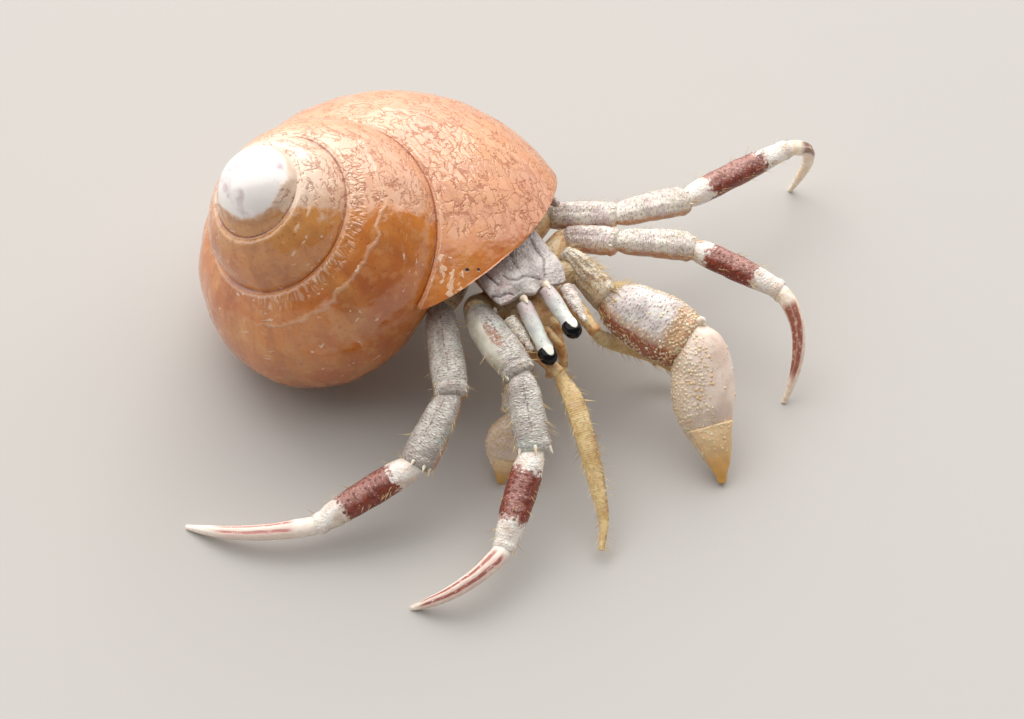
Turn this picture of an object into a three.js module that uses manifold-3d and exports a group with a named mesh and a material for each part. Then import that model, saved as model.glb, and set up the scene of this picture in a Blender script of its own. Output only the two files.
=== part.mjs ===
// A hermit crab at life size, walking with its borrowed snail shell tipped back over it.
// Millimetres, +Z up, the floor at Z = 0. The crab looks along -Y and its left side is +X.
import * as THREE from "three";
import { mergeVertices } from "three/addons/utils/BufferGeometryUtils.js";
import Module from "manifold-3d";

const wasm = await Module();
wasm.setup();

// ---------- driving dimensions ----------
const JOINT_GAP = 0.3; // clear space left between neighbouring plates
const CENTRE_X = 0.7; // middle of the leg span, moved to the origin
const CENTRE_Y = 2.2;

// The snail shell: a widening spiral coiled clockwise round the spire axis
const SPIRE = {
  apex: [-25.84, 12.35, 34.97], // where the spiral would close to a point
  tilt: 0.555, // lean of the spire away from upright, radians
  heading: 3.134, // the lean points to the crab's right
  phase: 4.536,
  radius: 12.85, // suture radius at the mouth
  growth: 0.0871, // per radian: each whorl is 1.73 times the one before
  steepness: 1.813, // suture drop down the axis over its radius
  dome: 8.25, // rounds the worn tip of the spire
};
const WHORL = {
  halfWidth: 0.721, // semi-axes of the whorl section over the suture radius
  halfHeight: 0.995,
  turn: 0.5235, // section tipped outwards, radians
  taper: -0.0074,
  flare: 0.022, // lip opens a little over the last part of the coil
  flareStart: -0.8 * Math.PI,
  core: 0.22, // radius of the solid central pillar over the suture radius
};
const SHELL_WALL = 0.85;
const MOUTH_ANGLE = 0.02 * Math.PI; // coil angle at which the lip meets the suture
const MOUTH_NORMAL = [0.19, -0.511, -0.838]; // the way the mouth faces: ahead and down
// The worn tip of the spire: a smooth dome on the spire axis
const WORN_TIP = { centre: -12.6, radius: 4.2, rise: 3.95 };
// Coil angles where one stretch of the coil is joined to the next, from the mouth inwards
const WHORL_BREAKS = [-1.2, -2.9, -4.6, -5.8].map((turns) => turns * Math.PI);
const HOLLOW_START = -1.15 * Math.PI; // how far up the coil the hollow reaches
const RING_SIDES = 22;
const RING_STEP = Math.PI / 10;

// Walking legs: hip, root of the merus, then the far ends of merus, carpus, propodus and dactyl
const LEGS = {
  leg2_left: {
    girth: 0.9,
    hip: [3.7, 0.9, 10.2],
    joints: [[8.4, 3.5, 9.6], [11.5, -0.84, 11.3], [18.66, -3.66, 8.9], [23.03, -12.76, 8.4],
      [19.43, -19.28, 0.1]],
    dactylBow: [1.3, -0.9, 1.0],
  },
  leg3_left: {
    girth: 0.9,
    hip: [3.9, 4.5, 10.6],
    joints: [[8.35, 6.8, 9.9], [13.39, 2.1, 11.2], [21.54, 1.61, 9.2], [34.65, 1.71, 9.3],
      [37.31, 3.51, 0.1]],
    dactylBow: [2.0, -0.6, 1.6],
  },
  leg2_right: {
    girth: 1,
    hip: [-3.4, 0.3, 10.2],
    joints: [[-5.1, -1.6, 11.9], [-5.25, -9.5, 10.9], [-7.75, -15.7, 7.6],
      [-14.73, -21.33, 3.6], [-24.16, -20.23, 0.1]],
    dactylBow: [-0.3, -1.4, 0.8],
  },
  leg3_right: {
    girth: 1,
    hip: [-3.5, 3.9, 10.6],
    joints: [[-7.5, 1.3, 11.3], [-11.5, -7.34, 9.6], [-17.34, -10.37, 6.4],
      [-27.49, -8.97, 2.7], [-37.18, -0.71, 0.1]],
    dactylBow: [-0.7, -0.9, 0.5],
  },
};
// Plate outlines along a leg: fraction of the length, width across, depth
const LEG_SHAPES = {
  base: [[0, 2.2, 2.4], [0.5, 2.9, 2.8], [1, 2.5, 2.6]],
  merus: [[0, 2.3, 2.2], [0.12, 2.9, 2.7], [0.5, 3.3, 2.9], [0.88, 3.4, 2.9], [1, 3.1, 2.6]],
  carpus: [[0, 1.9, 1.8], [0.14, 2.8, 2.4], [0.5, 3.3, 2.7], [0.9, 3.5, 2.8], [1, 3.2, 2.5]],
  propodus: [[0, 2.0, 1.8], [0.12, 2.7, 2.4], [0.45, 3.0, 2.6], [0.85, 2.5, 2.2], [1, 2.1, 1.8]],
  dactyl: [[0, 1.6, 1.5], [0.1, 1.85, 1.7], [0.35, 1.6, 1.55], [0.65, 1.3, 1.3],
    [0.88, 0.85, 0.9], [1, 0.5, 0.55]],
};

// ---------- small geometry helpers ----------
const vec = (point) => new THREE.Vector3(...point);

// One closed solid through rings of points, closed by a fan at each end
function skin(rings, firstTip, lastTip) {
  const sides = rings[0].length;
  const points = rings.flat().concat([firstTip, lastTip]);
  const first = points.length - 2;
  const last = points.length - 1;
  const faces = [];
  for (let ring = 0; ring < rings.length - 1; ring += 1) {
    for (let side = 0; side < sides; side += 1) {
      const a = ring * sides + side;
      const b = ring * sides + ((side + 1) % sides);
      faces.push(a, b, b + sides, a, b + sides, a + sides);
    }
  }
  const top = (rings.length - 1) * sides;
  for (let side = 0; side < sides; side += 1) {
    const next = (side + 1) % sides;
    faces.push(first, next, side);
    faces.push(last, top + side, top + next);
  }
  return manifoldOf(points, faces);
}

function manifoldOf(points, faces) {
  let volume = 0;
  for (let i = 0; i < faces.length; i += 3) {
    const [a, b, c] = [points[faces[i]], points[faces[i + 1]], points[faces[i + 2]]];
    volume += a.dot(b.clone().cross(c));
  }
  if (volume < 0) {
    faces.reverse();
  }
  const vertProperties = new Float32Array(points.flatMap((p) => [p.x, p.y, p.z]));
  const triVerts = new Uint32Array(faces);
  return new wasm.Manifold(new wasm.Mesh({ numProp: 3, vertProperties, triVerts }));
}

// A plate lofted through stations [x, y, z, width across, depth]; "up" is the depth direction
function loft(stations, up, { sides = 10, square = 1, grow = 0, bulge = 0.18 } = {}) {
  const centres = stations.map((s) => vec(s.slice(0, 3)));
  const last = centres.length - 1;
  const rings = centres.map((centre, i) => {
    const along = centres[Math.min(i + 1, last)].clone().sub(centres[Math.max(i - 1, 0)]);
    along.normalize();
    const across = along.clone().cross(up).normalize();
    const deep = across.clone().cross(along).normalize();
    const ring = [];
    for (let side = 0; side < sides; side += 1) {
      const turn = (2 * Math.PI * side) / sides;
      const c = Math.sign(Math.cos(turn)) * Math.abs(Math.cos(turn)) ** square;
      const s = Math.sign(Math.sin(turn)) * Math.abs(Math.sin(turn)) ** square;
      const point = centre.clone();
      point.addScaledVector(across, c * (stations[i][3] / 2 + grow));
      point.addScaledVector(deep, s * (stations[i][4] / 2 + grow));
      ring.push(point);
    }
    return ring;
  });
  const tip = (i, neighbour) => {
    const out = centres[i].clone().sub(centres[neighbour]).normalize();
    return centres[i].clone().addScaledVector(out, bulge * stations[i][4] + grow);
  };
  return skin(rings, tip(0, 1), tip(last, last - 1));
}

// Stations of a plate between two joints, following a shape table and bowed sideways
function between(from, to, shape, { scale = 1, bow = [0, 0, 0] } = {}) {
  const a = vec(from);
  const b = vec(to);
  return shape.map(([t, across, deep]) => {
    const centre = a.clone().lerp(b, t).addScaledVector(vec(bow), 4 * t * (1 - t));
    return [...centre.toArray(), across * scale, deep * scale];
  });
}

// ---------- the pieces ----------
const solids = new Map();
const colours = new Map();

// Registers a plate; "grown" is the same plate swollen by the joint gap, used to clear neighbours
function plate(name, look, stations, up, options = {}) {
  const solid = loft(stations, vec(up), options);
  const grown = loft(stations, vec(up), { ...options, grow: JOINT_GAP });
  solids.set(name, { solid, grown });
  colours.set(name, look);
}

function clear(name, others) {
  const entry = solids.get(name);
  for (const other of others) {
    entry.solid = entry.solid.subtract(solids.get(other).grown);
  }
}

// ---------- looks ----------
const LOOKS = {
  shell: { color: 0xb9783f, roughness: 0.22 },
  plate: { color: 0xb9aba8, roughness: 0.42 },
  shield: { color: 0xa89a9c, roughness: 0.38 },
  banded: { color: 0xb06a5c, roughness: 0.42 },
  dactyl: { color: 0xe2c3b4, roughness: 0.4 },
  chela: { color: 0xd8c4a4, roughness: 0.45 },
  finger: { color: 0xd2a560, roughness: 0.4 },
  soft: { color: 0xc79e6a, roughness: 0.35 },
  stalk: { color: 0xbcc4bf, roughness: 0.3 },
  cornea: { color: 0x0b0b0d, roughness: 0.06 },
  feeler: { color: 0xc9a457, roughness: 0.5 },
};

// ---------- snail shell ----------
const spireAxis = new THREE.Vector3(
  Math.sin(SPIRE.tilt) * Math.cos(SPIRE.heading),
  Math.sin(SPIRE.tilt) * Math.sin(SPIRE.heading),
  Math.cos(SPIRE.tilt),
);
const spireAcross = new THREE.Vector3(
  Math.cos(SPIRE.tilt) * Math.cos(SPIRE.heading),
  Math.cos(SPIRE.tilt) * Math.sin(SPIRE.heading),
  -Math.sin(SPIRE.tilt),
);
const spireSide = spireAxis.clone().cross(spireAcross);

// A point of the shell from its coil angle, distance from the axis and height along it
function coilPoint(angle, radius, height) {
  const turn = -(angle + SPIRE.phase);
  return vec(SPIRE.apex)
    .addScaledVector(spireAcross, radius * Math.cos(turn))
    .addScaledVector(spireSide, radius * Math.sin(turn))
    .addScaledVector(spireAxis, height);
}

// The suture: the line on which each whorl meets the one before, as [radius, height]
function suture(angle) {
  const radius = SPIRE.radius * Math.exp(SPIRE.growth * angle);
  return [radius, -Math.hypot(SPIRE.steepness * radius, SPIRE.dome)];
}

// Whorl section at a coil angle: an ellipse through two neighbouring suture points
function whorlSection(angle) {
  const size = SPIRE.radius * Math.exp((SPIRE.growth + WHORL.taper) * angle);
  const a = WHORL.halfWidth * size;
  const b = WHORL.halfHeight * size;
  const cos = Math.cos(WHORL.turn);
  const sin = Math.sin(WHORL.turn);
  const toUnit = ([r, z]) => [(r * cos + z * sin) / a, (-r * sin + z * cos) / b];
  const [ux, uy] = toUnit(suture(angle));
  const [vx, vy] = toUnit(suture(angle + 2 * Math.PI));
  const length = Math.hypot(vx - ux, vy - uy);
  const rise = Math.sqrt(Math.max(1 - (length / 2) ** 2, 0));
  const options = [1, -1].map((way) => {
    const cx = (ux + vx) / 2 + (way * rise * (vy - uy)) / length;
    const cy = (uy + vy) / 2 - (way * rise * (vx - ux)) / length;
    return [cx * a * cos - cy * b * sin, cx * a * sin + cy * b * cos];
  });
  const centre = options[0][1] < options[1][1] ? options[0] : options[1];
  return { centre, a, b, cos, sin };
}

function whorlRing(angle, inset) {
  const { centre, a, b, cos, sin } = whorlSection(angle);
  const late = Math.min(Math.max((angle - WHORL.flareStart) / -WHORL.flareStart, 0), 1.3);
  const open = 1 + WHORL.flare * late * late;
  const core = WHORL.core * SPIRE.radius * Math.exp(SPIRE.growth * angle) + 1.3 * inset;
  const ring = [];
  for (let side = 0; side < RING_SIDES; side += 1) {
    const turn = (2 * Math.PI * side) / RING_SIDES;
    const x = (a - inset) * open * Math.cos(turn);
    const y = (b - inset) * open * Math.sin(turn);
    const radius = Math.max(centre[0] + x * cos - y * sin, core);
    ring.push(coilPoint(angle, radius, centre[1] + x * sin + y * cos));
  }
  return ring;
}

// A stretch of the coil as a solid, from one coil angle to another
function coil(from, to, inset = 0) {
  const count = Math.max(2, Math.round((to - from) / RING_STEP));
  const rings = [];
  for (let i = 0; i <= count; i += 1) {
    rings.push(whorlRing(from + ((to - from) * i) / count, inset));
  }
  const middle = (ring) => ring
    .reduce((sum, p) => sum.add(p), new THREE.Vector3())
    .divideScalar(ring.length);
  return skin(rings, middle(rings[0]), middle(rings[rings.length - 1]));
}

// A block filling all space beyond a plane, on the side its normal points to
function beyondPlane(point, normal, size = 120) {
  const box = new THREE.BoxGeometry(size, size, size);
  box.deleteAttribute("normal");
  box.deleteAttribute("uv");
  const turn = new THREE.Quaternion().setFromUnitVectors(new THREE.Vector3(0, 0, 1), normal);
  box.translate(0, 0, size / 2);
  box.applyQuaternion(turn);
  box.translate(point.x, point.y, point.z);
  const merged = mergeVertices(box, 1e-4);
  const p = merged.attributes.position;
  const points = [];
  for (let i = 0; i < p.count; i += 1) {
    points.push(new THREE.Vector3().fromBufferAttribute(p, i));
  }
  return manifoldOf(points, [...merged.index.array]);
}

const belowFloor = beyondPlane(new THREE.Vector3(), new THREE.Vector3(0, 0, -1));

function wornTip(bands = 8, sides = 20) {
  const rings = [];
  for (let band = 1; band < bands; band += 1) {
    const tilt = (Math.PI * band) / bands;
    const height = WORN_TIP.centre + WORN_TIP.rise * Math.cos(tilt);
    const ring = [];
    for (let side = 0; side < sides; side += 1) {
      ring.push(coilPoint((-2 * Math.PI * side) / sides, WORN_TIP.radius * Math.sin(tilt), height));
    }
    rings.push(ring);
  }
  const top = coilPoint(0, 0, WORN_TIP.centre + WORN_TIP.rise);
  const bottom = coilPoint(0, 0, WORN_TIP.centre - WORN_TIP.rise);
  return skin(rings, top, bottom);
}

function snailShell() {
  const lipPoint = coilPoint(MOUTH_ANGLE, ...suture(MOUTH_ANGLE));
  const mouth = beyondPlane(lipPoint, vec(MOUTH_NORMAL).normalize());
  const hollow = coil(HOLLOW_START, 0.35 * Math.PI, SHELL_WALL);
  let shell = coil(WHORL_BREAKS[0], 0.3 * Math.PI).subtract(hollow).subtract(mouth);
  for (let i = 1; i < WHORL_BREAKS.length; i += 1) {
    shell = shell.add(coil(WHORL_BREAKS[i], WHORL_BREAKS[i - 1]));
  }
  return shell.add(wornTip()).subtract(belowFloor);
}

// ---------- head, carapace and soft body ----------
function buildBody() {
  plate("thorax", LOOKS.soft, [
    [0.3, -3.1, 10.6, 3.4, 2.6],
    [0.3, -1.6, 10.8, 5.2, 3.6],
    [0.3, 1.5, 11.1, 5.8, 3.8],
    [0.3, 5.0, 11.4, 6.0, 4.0],
    [0.3, 8.0, 12.0, 5.8, 4.6],
  ], [0, 0, 1], { sides: 12, square: 0.8 });
  plate("shield", LOOKS.shield, [
    [0.1, -3.5, 13.3, 7.6, 0.9],
    [0.15, -2.7, 13.6, 8.3, 1.5],
    [0.25, 0.4, 14.1, 8.5, 1.9],
    [0.25, 3.2, 14.5, 8.2, 2.0],
    [0.25, 5.2, 14.8, 6.8, 1.6],
  ], [0.16, 0, 1], { sides: 14, square: 0.8 });
  plate("carapace_rear", LOOKS.soft, [
    [0.1, 6.1, 14.8, 6.2, 1.6],
    [0.0, 8.0, 15.0, 7.0, 2.4],
    [-0.2, 10.4, 15.0, 6.6, 2.6],
  ], [0.16, 0, 1], { sides: 10 });
  plate("abdomen", LOOKS.soft, [
    [0.2, 9.4, 12.0, 5.4, 4.4],
    [-0.3, 12.0, 12.4, 7.0, 6.2],
    [-1.2, 15.2, 12.8, 7.6, 7.0],
    [-4.4, 18.6, 12.6, 7.0, 6.8],
    [-8.8, 20.2, 11.6, 5.6, 5.6],
    [-12.8, 19.2, 10.6, 3.2, 3.4],
  ], [0, 0, 1], { sides: 12 });
  clear("abdomen", ["thorax", "carapace_rear"]);
  clear("thorax", ["shield", "carapace_rear"]);
  clear("carapace_rear", ["shield"]);
}

// ---------- eyes, feelers and mouthparts ----------
const EYES = {
  left: { root: [1.37, -4.0, 13.35], tip: [0.95, -8.75, 12.95] },
  right: { root: [-1.25, -4.0, 12.95], tip: [-2.05, -9.2, 11.55] },
};
const STALK_SHAPE = [[0, 1.5, 1.4], [0.25, 1.65, 1.6], [0.75, 1.5, 1.5], [1, 1.65, 1.6]];
const CORNEA_LENGTH = 0.95;

function buildEyes() {
  for (const [side, { root, tip }] of Object.entries(EYES)) {
    const along = vec(tip).sub(vec(root)).normalize();
    const start = vec(tip).addScaledVector(along, JOINT_GAP + 0.35);
    const end = start.clone().addScaledVector(along, CORNEA_LENGTH);
    const cornea = [[0, 1.7, 1.65], [0.45, 1.65, 1.6], [0.8, 1.25, 1.2], [1, 0.6, 0.6]];
    plate("eyestalk_" + side, LOOKS.stalk, between(root, tip, STALK_SHAPE), [0, 0, 1]);
    plate("eye_" + side, LOOKS.cornea,
      between(start.toArray(), end.toArray(), cornea), [0, 0, 1], { bulge: 0.2 });
  }
}

const HEAD_PARTS = {
  left: {
    scaleFrom: [3.6, -3.9, 12.4],
    scaleTo: [3.0, -8.1, 11.9],
    feelerFrom: [3.9, -3.3, 10.8],
    feelerTo: [3.9, -7.4, 10.0],
    antennuleFrom: [0.55, -4.2, 10.9],
    antennuleTo: [1.5, -8.0, 10.6],
  },
  right: {
    scaleFrom: [-2.9, -4.1, 12.0],
    scaleTo: [-2.85, -7.9, 11.1],
    feelerFrom: [-2.6, -4.2, 10.4],
    feelerTo: [-1.9, -9.5, 9.6],
    antennuleFrom: [-0.25, -4.3, 10.7],
    antennuleTo: [0.35, -8.3, 10.0],
  },
};
const SCALE_SHAPE = [[0, 1.3, 1.0], [0.35, 1.4, 1.1], [0.75, 0.9, 0.8], [1, 0.5, 0.5]];
const PEDUNCLE_SHAPE = [[0, 1.5, 1.5], [0.3, 1.7, 1.6], [0.7, 1.4, 1.4], [1, 1.2, 1.2]];
const ANTENNULE_SHAPE = [[0, 0.8, 0.8], [0.5, 0.8, 0.8], [0.9, 0.6, 0.6], [1, 0.5, 0.5]];
// Flattened feather-like flagella, from the peduncle to the thin end
const FLAGELLA = {
  left: [
    [4.2, -8.0, 9.5, 0.9, 0.8],
    [5.0, -8.0, 8.2, 1.3, 0.8],
    [6.8, -7.8, 6.0, 1.6, 0.8],
    [9.0, -8.4, 4.2, 1.6, 0.8],
    [11.2, -10.2, 2.8, 1.4, 0.7],
    [12.3, -12.6, 1.8, 0.9, 0.6],
    [12.5, -15.0, 1.2, 0.5, 0.5],
  ],
  right: [
    [-1.55, -10.1, 9.6, 1.0, 0.8],
    [-1.6, -11.4, 9.3, 1.4, 0.8],
    [-1.8, -13.2, 8.9, 1.8, 0.8],
    [-2.7, -16.9, 7.0, 1.8, 0.8],
    [-3.8, -20.7, 4.2, 1.5, 0.7],
    [-4.7, -23.1, 2.4, 0.9, 0.6],
    [-6.2, -24.9, 1.2, 0.5, 0.5],
  ],
};

function buildHead() {
  for (const [side, part] of Object.entries(HEAD_PARTS)) {
    const out = side === "left" ? 1 : -1;
    plate("antennal_scale_" + side, LOOKS.plate,
      between(part.scaleFrom, part.scaleTo, SCALE_SHAPE), [0, 0, 1], { sides: 8 });
    plate("antenna_base_" + side, LOOKS.soft,
      between(part.feelerFrom, part.feelerTo, PEDUNCLE_SHAPE), [0, 0, 1], { sides: 8 });
    plate("antennule_" + side, LOOKS.soft,
      between(part.antennuleFrom, part.antennuleTo, ANTENNULE_SHAPE), [0, 0, 1], { sides: 8 });
    plate("antenna_" + side, LOOKS.feeler, FLAGELLA[side], [-0.35, -0.54, 0.77], { sides: 8 });
    plate("maxilliped_" + side, LOOKS.soft, [
      [0.3 + 0.9 * out, -3.9, 8.9, 1.1, 1.3],
      [0.3 + 1.0 * out, -5.6, 8.5, 1.2, 1.4],
      [0.3 + 0.9 * out, -7.0, 7.4, 1.0, 1.2],
      [0.3 + 0.75 * out, -7.5, 5.8, 0.8, 0.9],
      [0.3 + 0.7 * out, -7.0, 4.7, 0.5, 0.6],
    ], [0, -1, 1], { sides: 8 });
  }
}

// ---------- walking legs ----------
const LEG_LOOKS = {
  base: LOOKS.soft,
  merus: LOOKS.plate,
  carpus: LOOKS.plate,
  propodus: LOOKS.banded,
  dactyl: LOOKS.dactyl,
};

function buildLegs() {
  for (const [leg, { girth, hip, joints, dactylBow }] of Object.entries(LEGS)) {
    const ends = [hip, ...joints];
    const names = Object.keys(LEG_SHAPES);
    names.forEach((segment, i) => {
      const bow = segment === "dactyl" ? dactylBow : [0, 0, 0.15];
      const stations = between(ends[i], ends[i + 1], LEG_SHAPES[segment],
        { bow, scale: girth });
      plate(leg + "_" + segment, LEG_LOOKS[segment], stations, [0, 0, 1]);
    });
    for (let i = 0; i < names.length - 1; i += 1) {
      clear(leg + "_" + names[i], [leg + "_" + names[i + 1]]);
    }
  }
}

// ---------- claws ----------
const CLAWS = {
  left: {
    merus: [
      [6.2, 0.1, 11.9, 1.6, 2.0],
      [6.8, -1.4, 11.2, 2.2, 3.2],
      [7.1, -3.4, 10.4, 2.5, 4.0],
      [7.3, -5.4, 10.0, 2.5, 4.2],
    ],
    carpus: [
      [7.4, -5.9, 10.1, 3.2, 2.6],
      [7.9, -7.1, 10.0, 4.9, 3.8],
      [9.2, -9.7, 9.6, 6.1, 4.4],
      [10.5, -12.1, 9.1, 6.4, 4.4],
      [11.0, -13.4, 8.8, 5.5, 3.8],
    ],
    palm: [
      [12.1, -13.1, 9.5, 2.6, 2.6],
      [12.0, -14.4, 8.9, 4.6, 3.8],
      [10.9, -16.8, 6.9, 6.1, 4.4],
      [9.9, -18.6, 5.3, 5.9, 4.0],
      [9.5, -20.2, 3.6, 4.6, 2.6],
      [9.1, -22.0, 1.7, 2.6, 1.5],
      [8.9, -23.3, 0.3, 0.9, 0.8],
    ],
    finger: [
      [9.3, -20.6, 4.6, 4.3, 1.4],
      [9.1, -21.5, 3.7, 3.6, 1.5],
      [8.8, -22.9, 2.1, 2.2, 1.2],
      [8.4, -24.1, 0.4, 0.8, 0.8],
    ],
    up: [-0.35, -0.54, 0.77],
  },
  right: {
    merus: [
      [-3.6, -2.6, 8.6, 1.5, 1.8],
      [-3.5, -4.6, 8.2, 1.9, 2.2],
      [-3.5, -6.3, 7.5, 1.8, 2.2],
    ],
    carpus: [
      [-3.7, -6.9, 7.1, 1.8, 1.7],
      [-4.2, -7.8, 6.9, 2.6, 2.3],
      [-5.3, -9.1, 6.3, 3.0, 2.6],
      [-5.9, -9.8, 5.9, 2.7, 2.3],
    ],
    palm: [
      [-6.3, -10.2, 5.5, 2.2, 1.9],
      [-6.9, -10.6, 4.8, 3.6, 2.6],
      [-7.8, -11.1, 3.4, 4.1, 2.7],
      [-8.5, -11.5, 2.0, 3.0, 1.7],
      [-9.0, -11.7, 0.4, 0.9, 0.8],
    ],
    finger: [
      [-8.6, -12.1, 2.6, 2.6, 1.0],
      [-9.0, -12.3, 1.7, 1.9, 1.0],
      [-9.4, -12.5, 0.4, 0.8, 0.7],
    ],
    up: [-0.35, -0.54, 0.77],
  },
};

function buildClaws() {
  for (const [side, claw] of Object.entries(CLAWS)) {
    const base = "claw_" + side + "_";
    plate(base + "merus", LOOKS.plate, claw.merus, [0, 0, 1]);
    plate(base + "carpus", LOOKS.plate, claw.carpus, claw.up, { sides: 12 });
    plate(base + "palm", LOOKS.chela, claw.palm, claw.up, { sides: 12 });
    plate(base + "finger", LOOKS.finger, claw.finger, claw.up);
    clear(base + "merus", [base + "carpus"]);
    clear(base + "palm", [base + "carpus", base + "finger"]);
  }
}

// ---------- small hind legs that grip the shell from inside ----------
const HIND_LEGS = {
  leg4_left: [[3.8, 7.6, 12.2], [6.2, 8.2, 12.8], [7.9, 6.8, 13.2], [8.6, 5.0, 13.2]],
  leg4_right: [[-3.4, 7.4, 12.0], [-5.4, 7.6, 11.8], [-6.6, 6.2, 11.4], [-6.8, 4.6, 11.0]],
  leg5_left: [[3.6, 9.6, 13.4], [5.4, 10.6, 14.8], [5.6, 9.2, 16.2], [5.0, 7.6, 16.8]],
  leg5_right: [[-3.6, 9.9, 12.6], [-5.6, 10.6, 12.2], [-6.6, 9.6, 11.2], [-6.8, 8.4, 10.2]],
};
const HIND_SHAPE = [[1.5, 1.5], [1.3, 1.4], [1.2, 1.3], [0.7, 0.8]];

function buildHindLegs() {
  for (const [name, path] of Object.entries(HIND_LEGS)) {
    const stations = path.map((point, i) => [...point, ...HIND_SHAPE[i]]);
    plate(name, LOOKS.plate, stations, [0, 0, 1], { sides: 8 });
  }
}

// ---------- assembly ----------
buildBody();
buildEyes();
buildHead();
buildLegs();
buildClaws();
buildHindLegs();

const root = new THREE.Group();

function addMesh(name, solid, look) {
  const { vertProperties, triVerts } = solid.getMesh();
  const geometry = new THREE.BufferGeometry();
  geometry.setAttribute("position", new THREE.BufferAttribute(vertProperties, 3));
  geometry.setIndex(new THREE.BufferAttribute(triVerts, 1));
  geometry.translate(-CENTRE_X, -CENTRE_Y, 0);
  geometry.computeVertexNormals();
  const mesh = new THREE.Mesh(geometry, new THREE.MeshStandardMaterial(look));
  mesh.name = name;
  root.add(mesh);
}

addMesh("shell", snailShell(), LOOKS.shell);
for (const [name, { solid }] of solids) {
  addMesh(name, solid.subtract(belowFloor), colours.get(name));
}

export default root;
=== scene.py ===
import math
from functools import partialmethod

import bmesh
import bpy
import numpy as np
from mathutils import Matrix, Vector


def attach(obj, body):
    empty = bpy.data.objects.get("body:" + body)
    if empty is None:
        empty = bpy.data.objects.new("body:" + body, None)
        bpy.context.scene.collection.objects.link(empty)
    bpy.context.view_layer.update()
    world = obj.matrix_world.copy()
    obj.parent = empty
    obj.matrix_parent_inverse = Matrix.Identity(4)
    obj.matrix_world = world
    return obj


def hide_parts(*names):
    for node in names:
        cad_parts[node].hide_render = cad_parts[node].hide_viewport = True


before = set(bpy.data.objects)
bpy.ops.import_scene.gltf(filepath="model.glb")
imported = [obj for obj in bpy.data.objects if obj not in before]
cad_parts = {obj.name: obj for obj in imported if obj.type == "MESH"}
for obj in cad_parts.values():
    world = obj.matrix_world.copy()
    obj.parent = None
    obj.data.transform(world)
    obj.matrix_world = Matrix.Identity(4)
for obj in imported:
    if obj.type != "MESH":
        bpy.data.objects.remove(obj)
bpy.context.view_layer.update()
MM = 0.001

# ---------- studio ----------
# A pale matt floor under a bright half of sky that opens behind and over the animal and fades out in front of
# it, with one wide soft lamp for shape. The lens looks down on the crab's head from its right.
CAMERA_AZIMUTH = math.radians(-33)
CAMERA_ELEVATION = math.radians(50)
CAMERA_TARGET = Vector((-0.7, -2.2, 0)) * MM
CAMERA_DISTANCE = 260 * MM
CAMERA_LENS = 91.4

LAMP_PLACE = Vector((0.25, 0.6, 0.7))
LAMP_SIZE = (1.1, 0.9)
LAMP_WATTS = 7.6
LAMP_TINT = (1.0, 0.97, 0.93)


def put(name, data):
    """A new object in the scene that holds this data."""
    held = bpy.data.objects.new(name, data)
    bpy.context.scene.collection.objects.link(held)
    return held


def aimed(name, data, place, aim):
    """A camera or a lamp at one place, turned to face another."""
    held = put(name, data)
    held.location = place
    held.rotation_mode = "QUATERNION"
    held.rotation_quaternion = (aim - place).to_track_quat("-Z", "Y")
    return held


camera_back = Vector((
    math.sin(CAMERA_AZIMUTH) * math.cos(CAMERA_ELEVATION),
    -math.cos(CAMERA_AZIMUTH) * math.cos(CAMERA_ELEVATION),
    math.sin(CAMERA_ELEVATION),
))
lens = bpy.data.cameras.new("camera")
lens.lens = CAMERA_LENS
lens.sensor_width = 36
lens.clip_start, lens.clip_end = 0.01, 20
camera_place = CAMERA_TARGET + camera_back * CAMERA_DISTANCE
bpy.context.scene.camera = aimed("camera", lens, camera_place, CAMERA_TARGET)
lamp = bpy.data.lights.new("sky_lamp", "AREA")
lamp.shape = "RECTANGLE"
lamp.size, lamp.size_y = LAMP_SIZE
lamp.energy = LAMP_WATTS
lamp.color = LAMP_TINT
aimed("sky_lamp", lamp, LAMP_PLACE, Vector()).visible_camera = False


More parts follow.
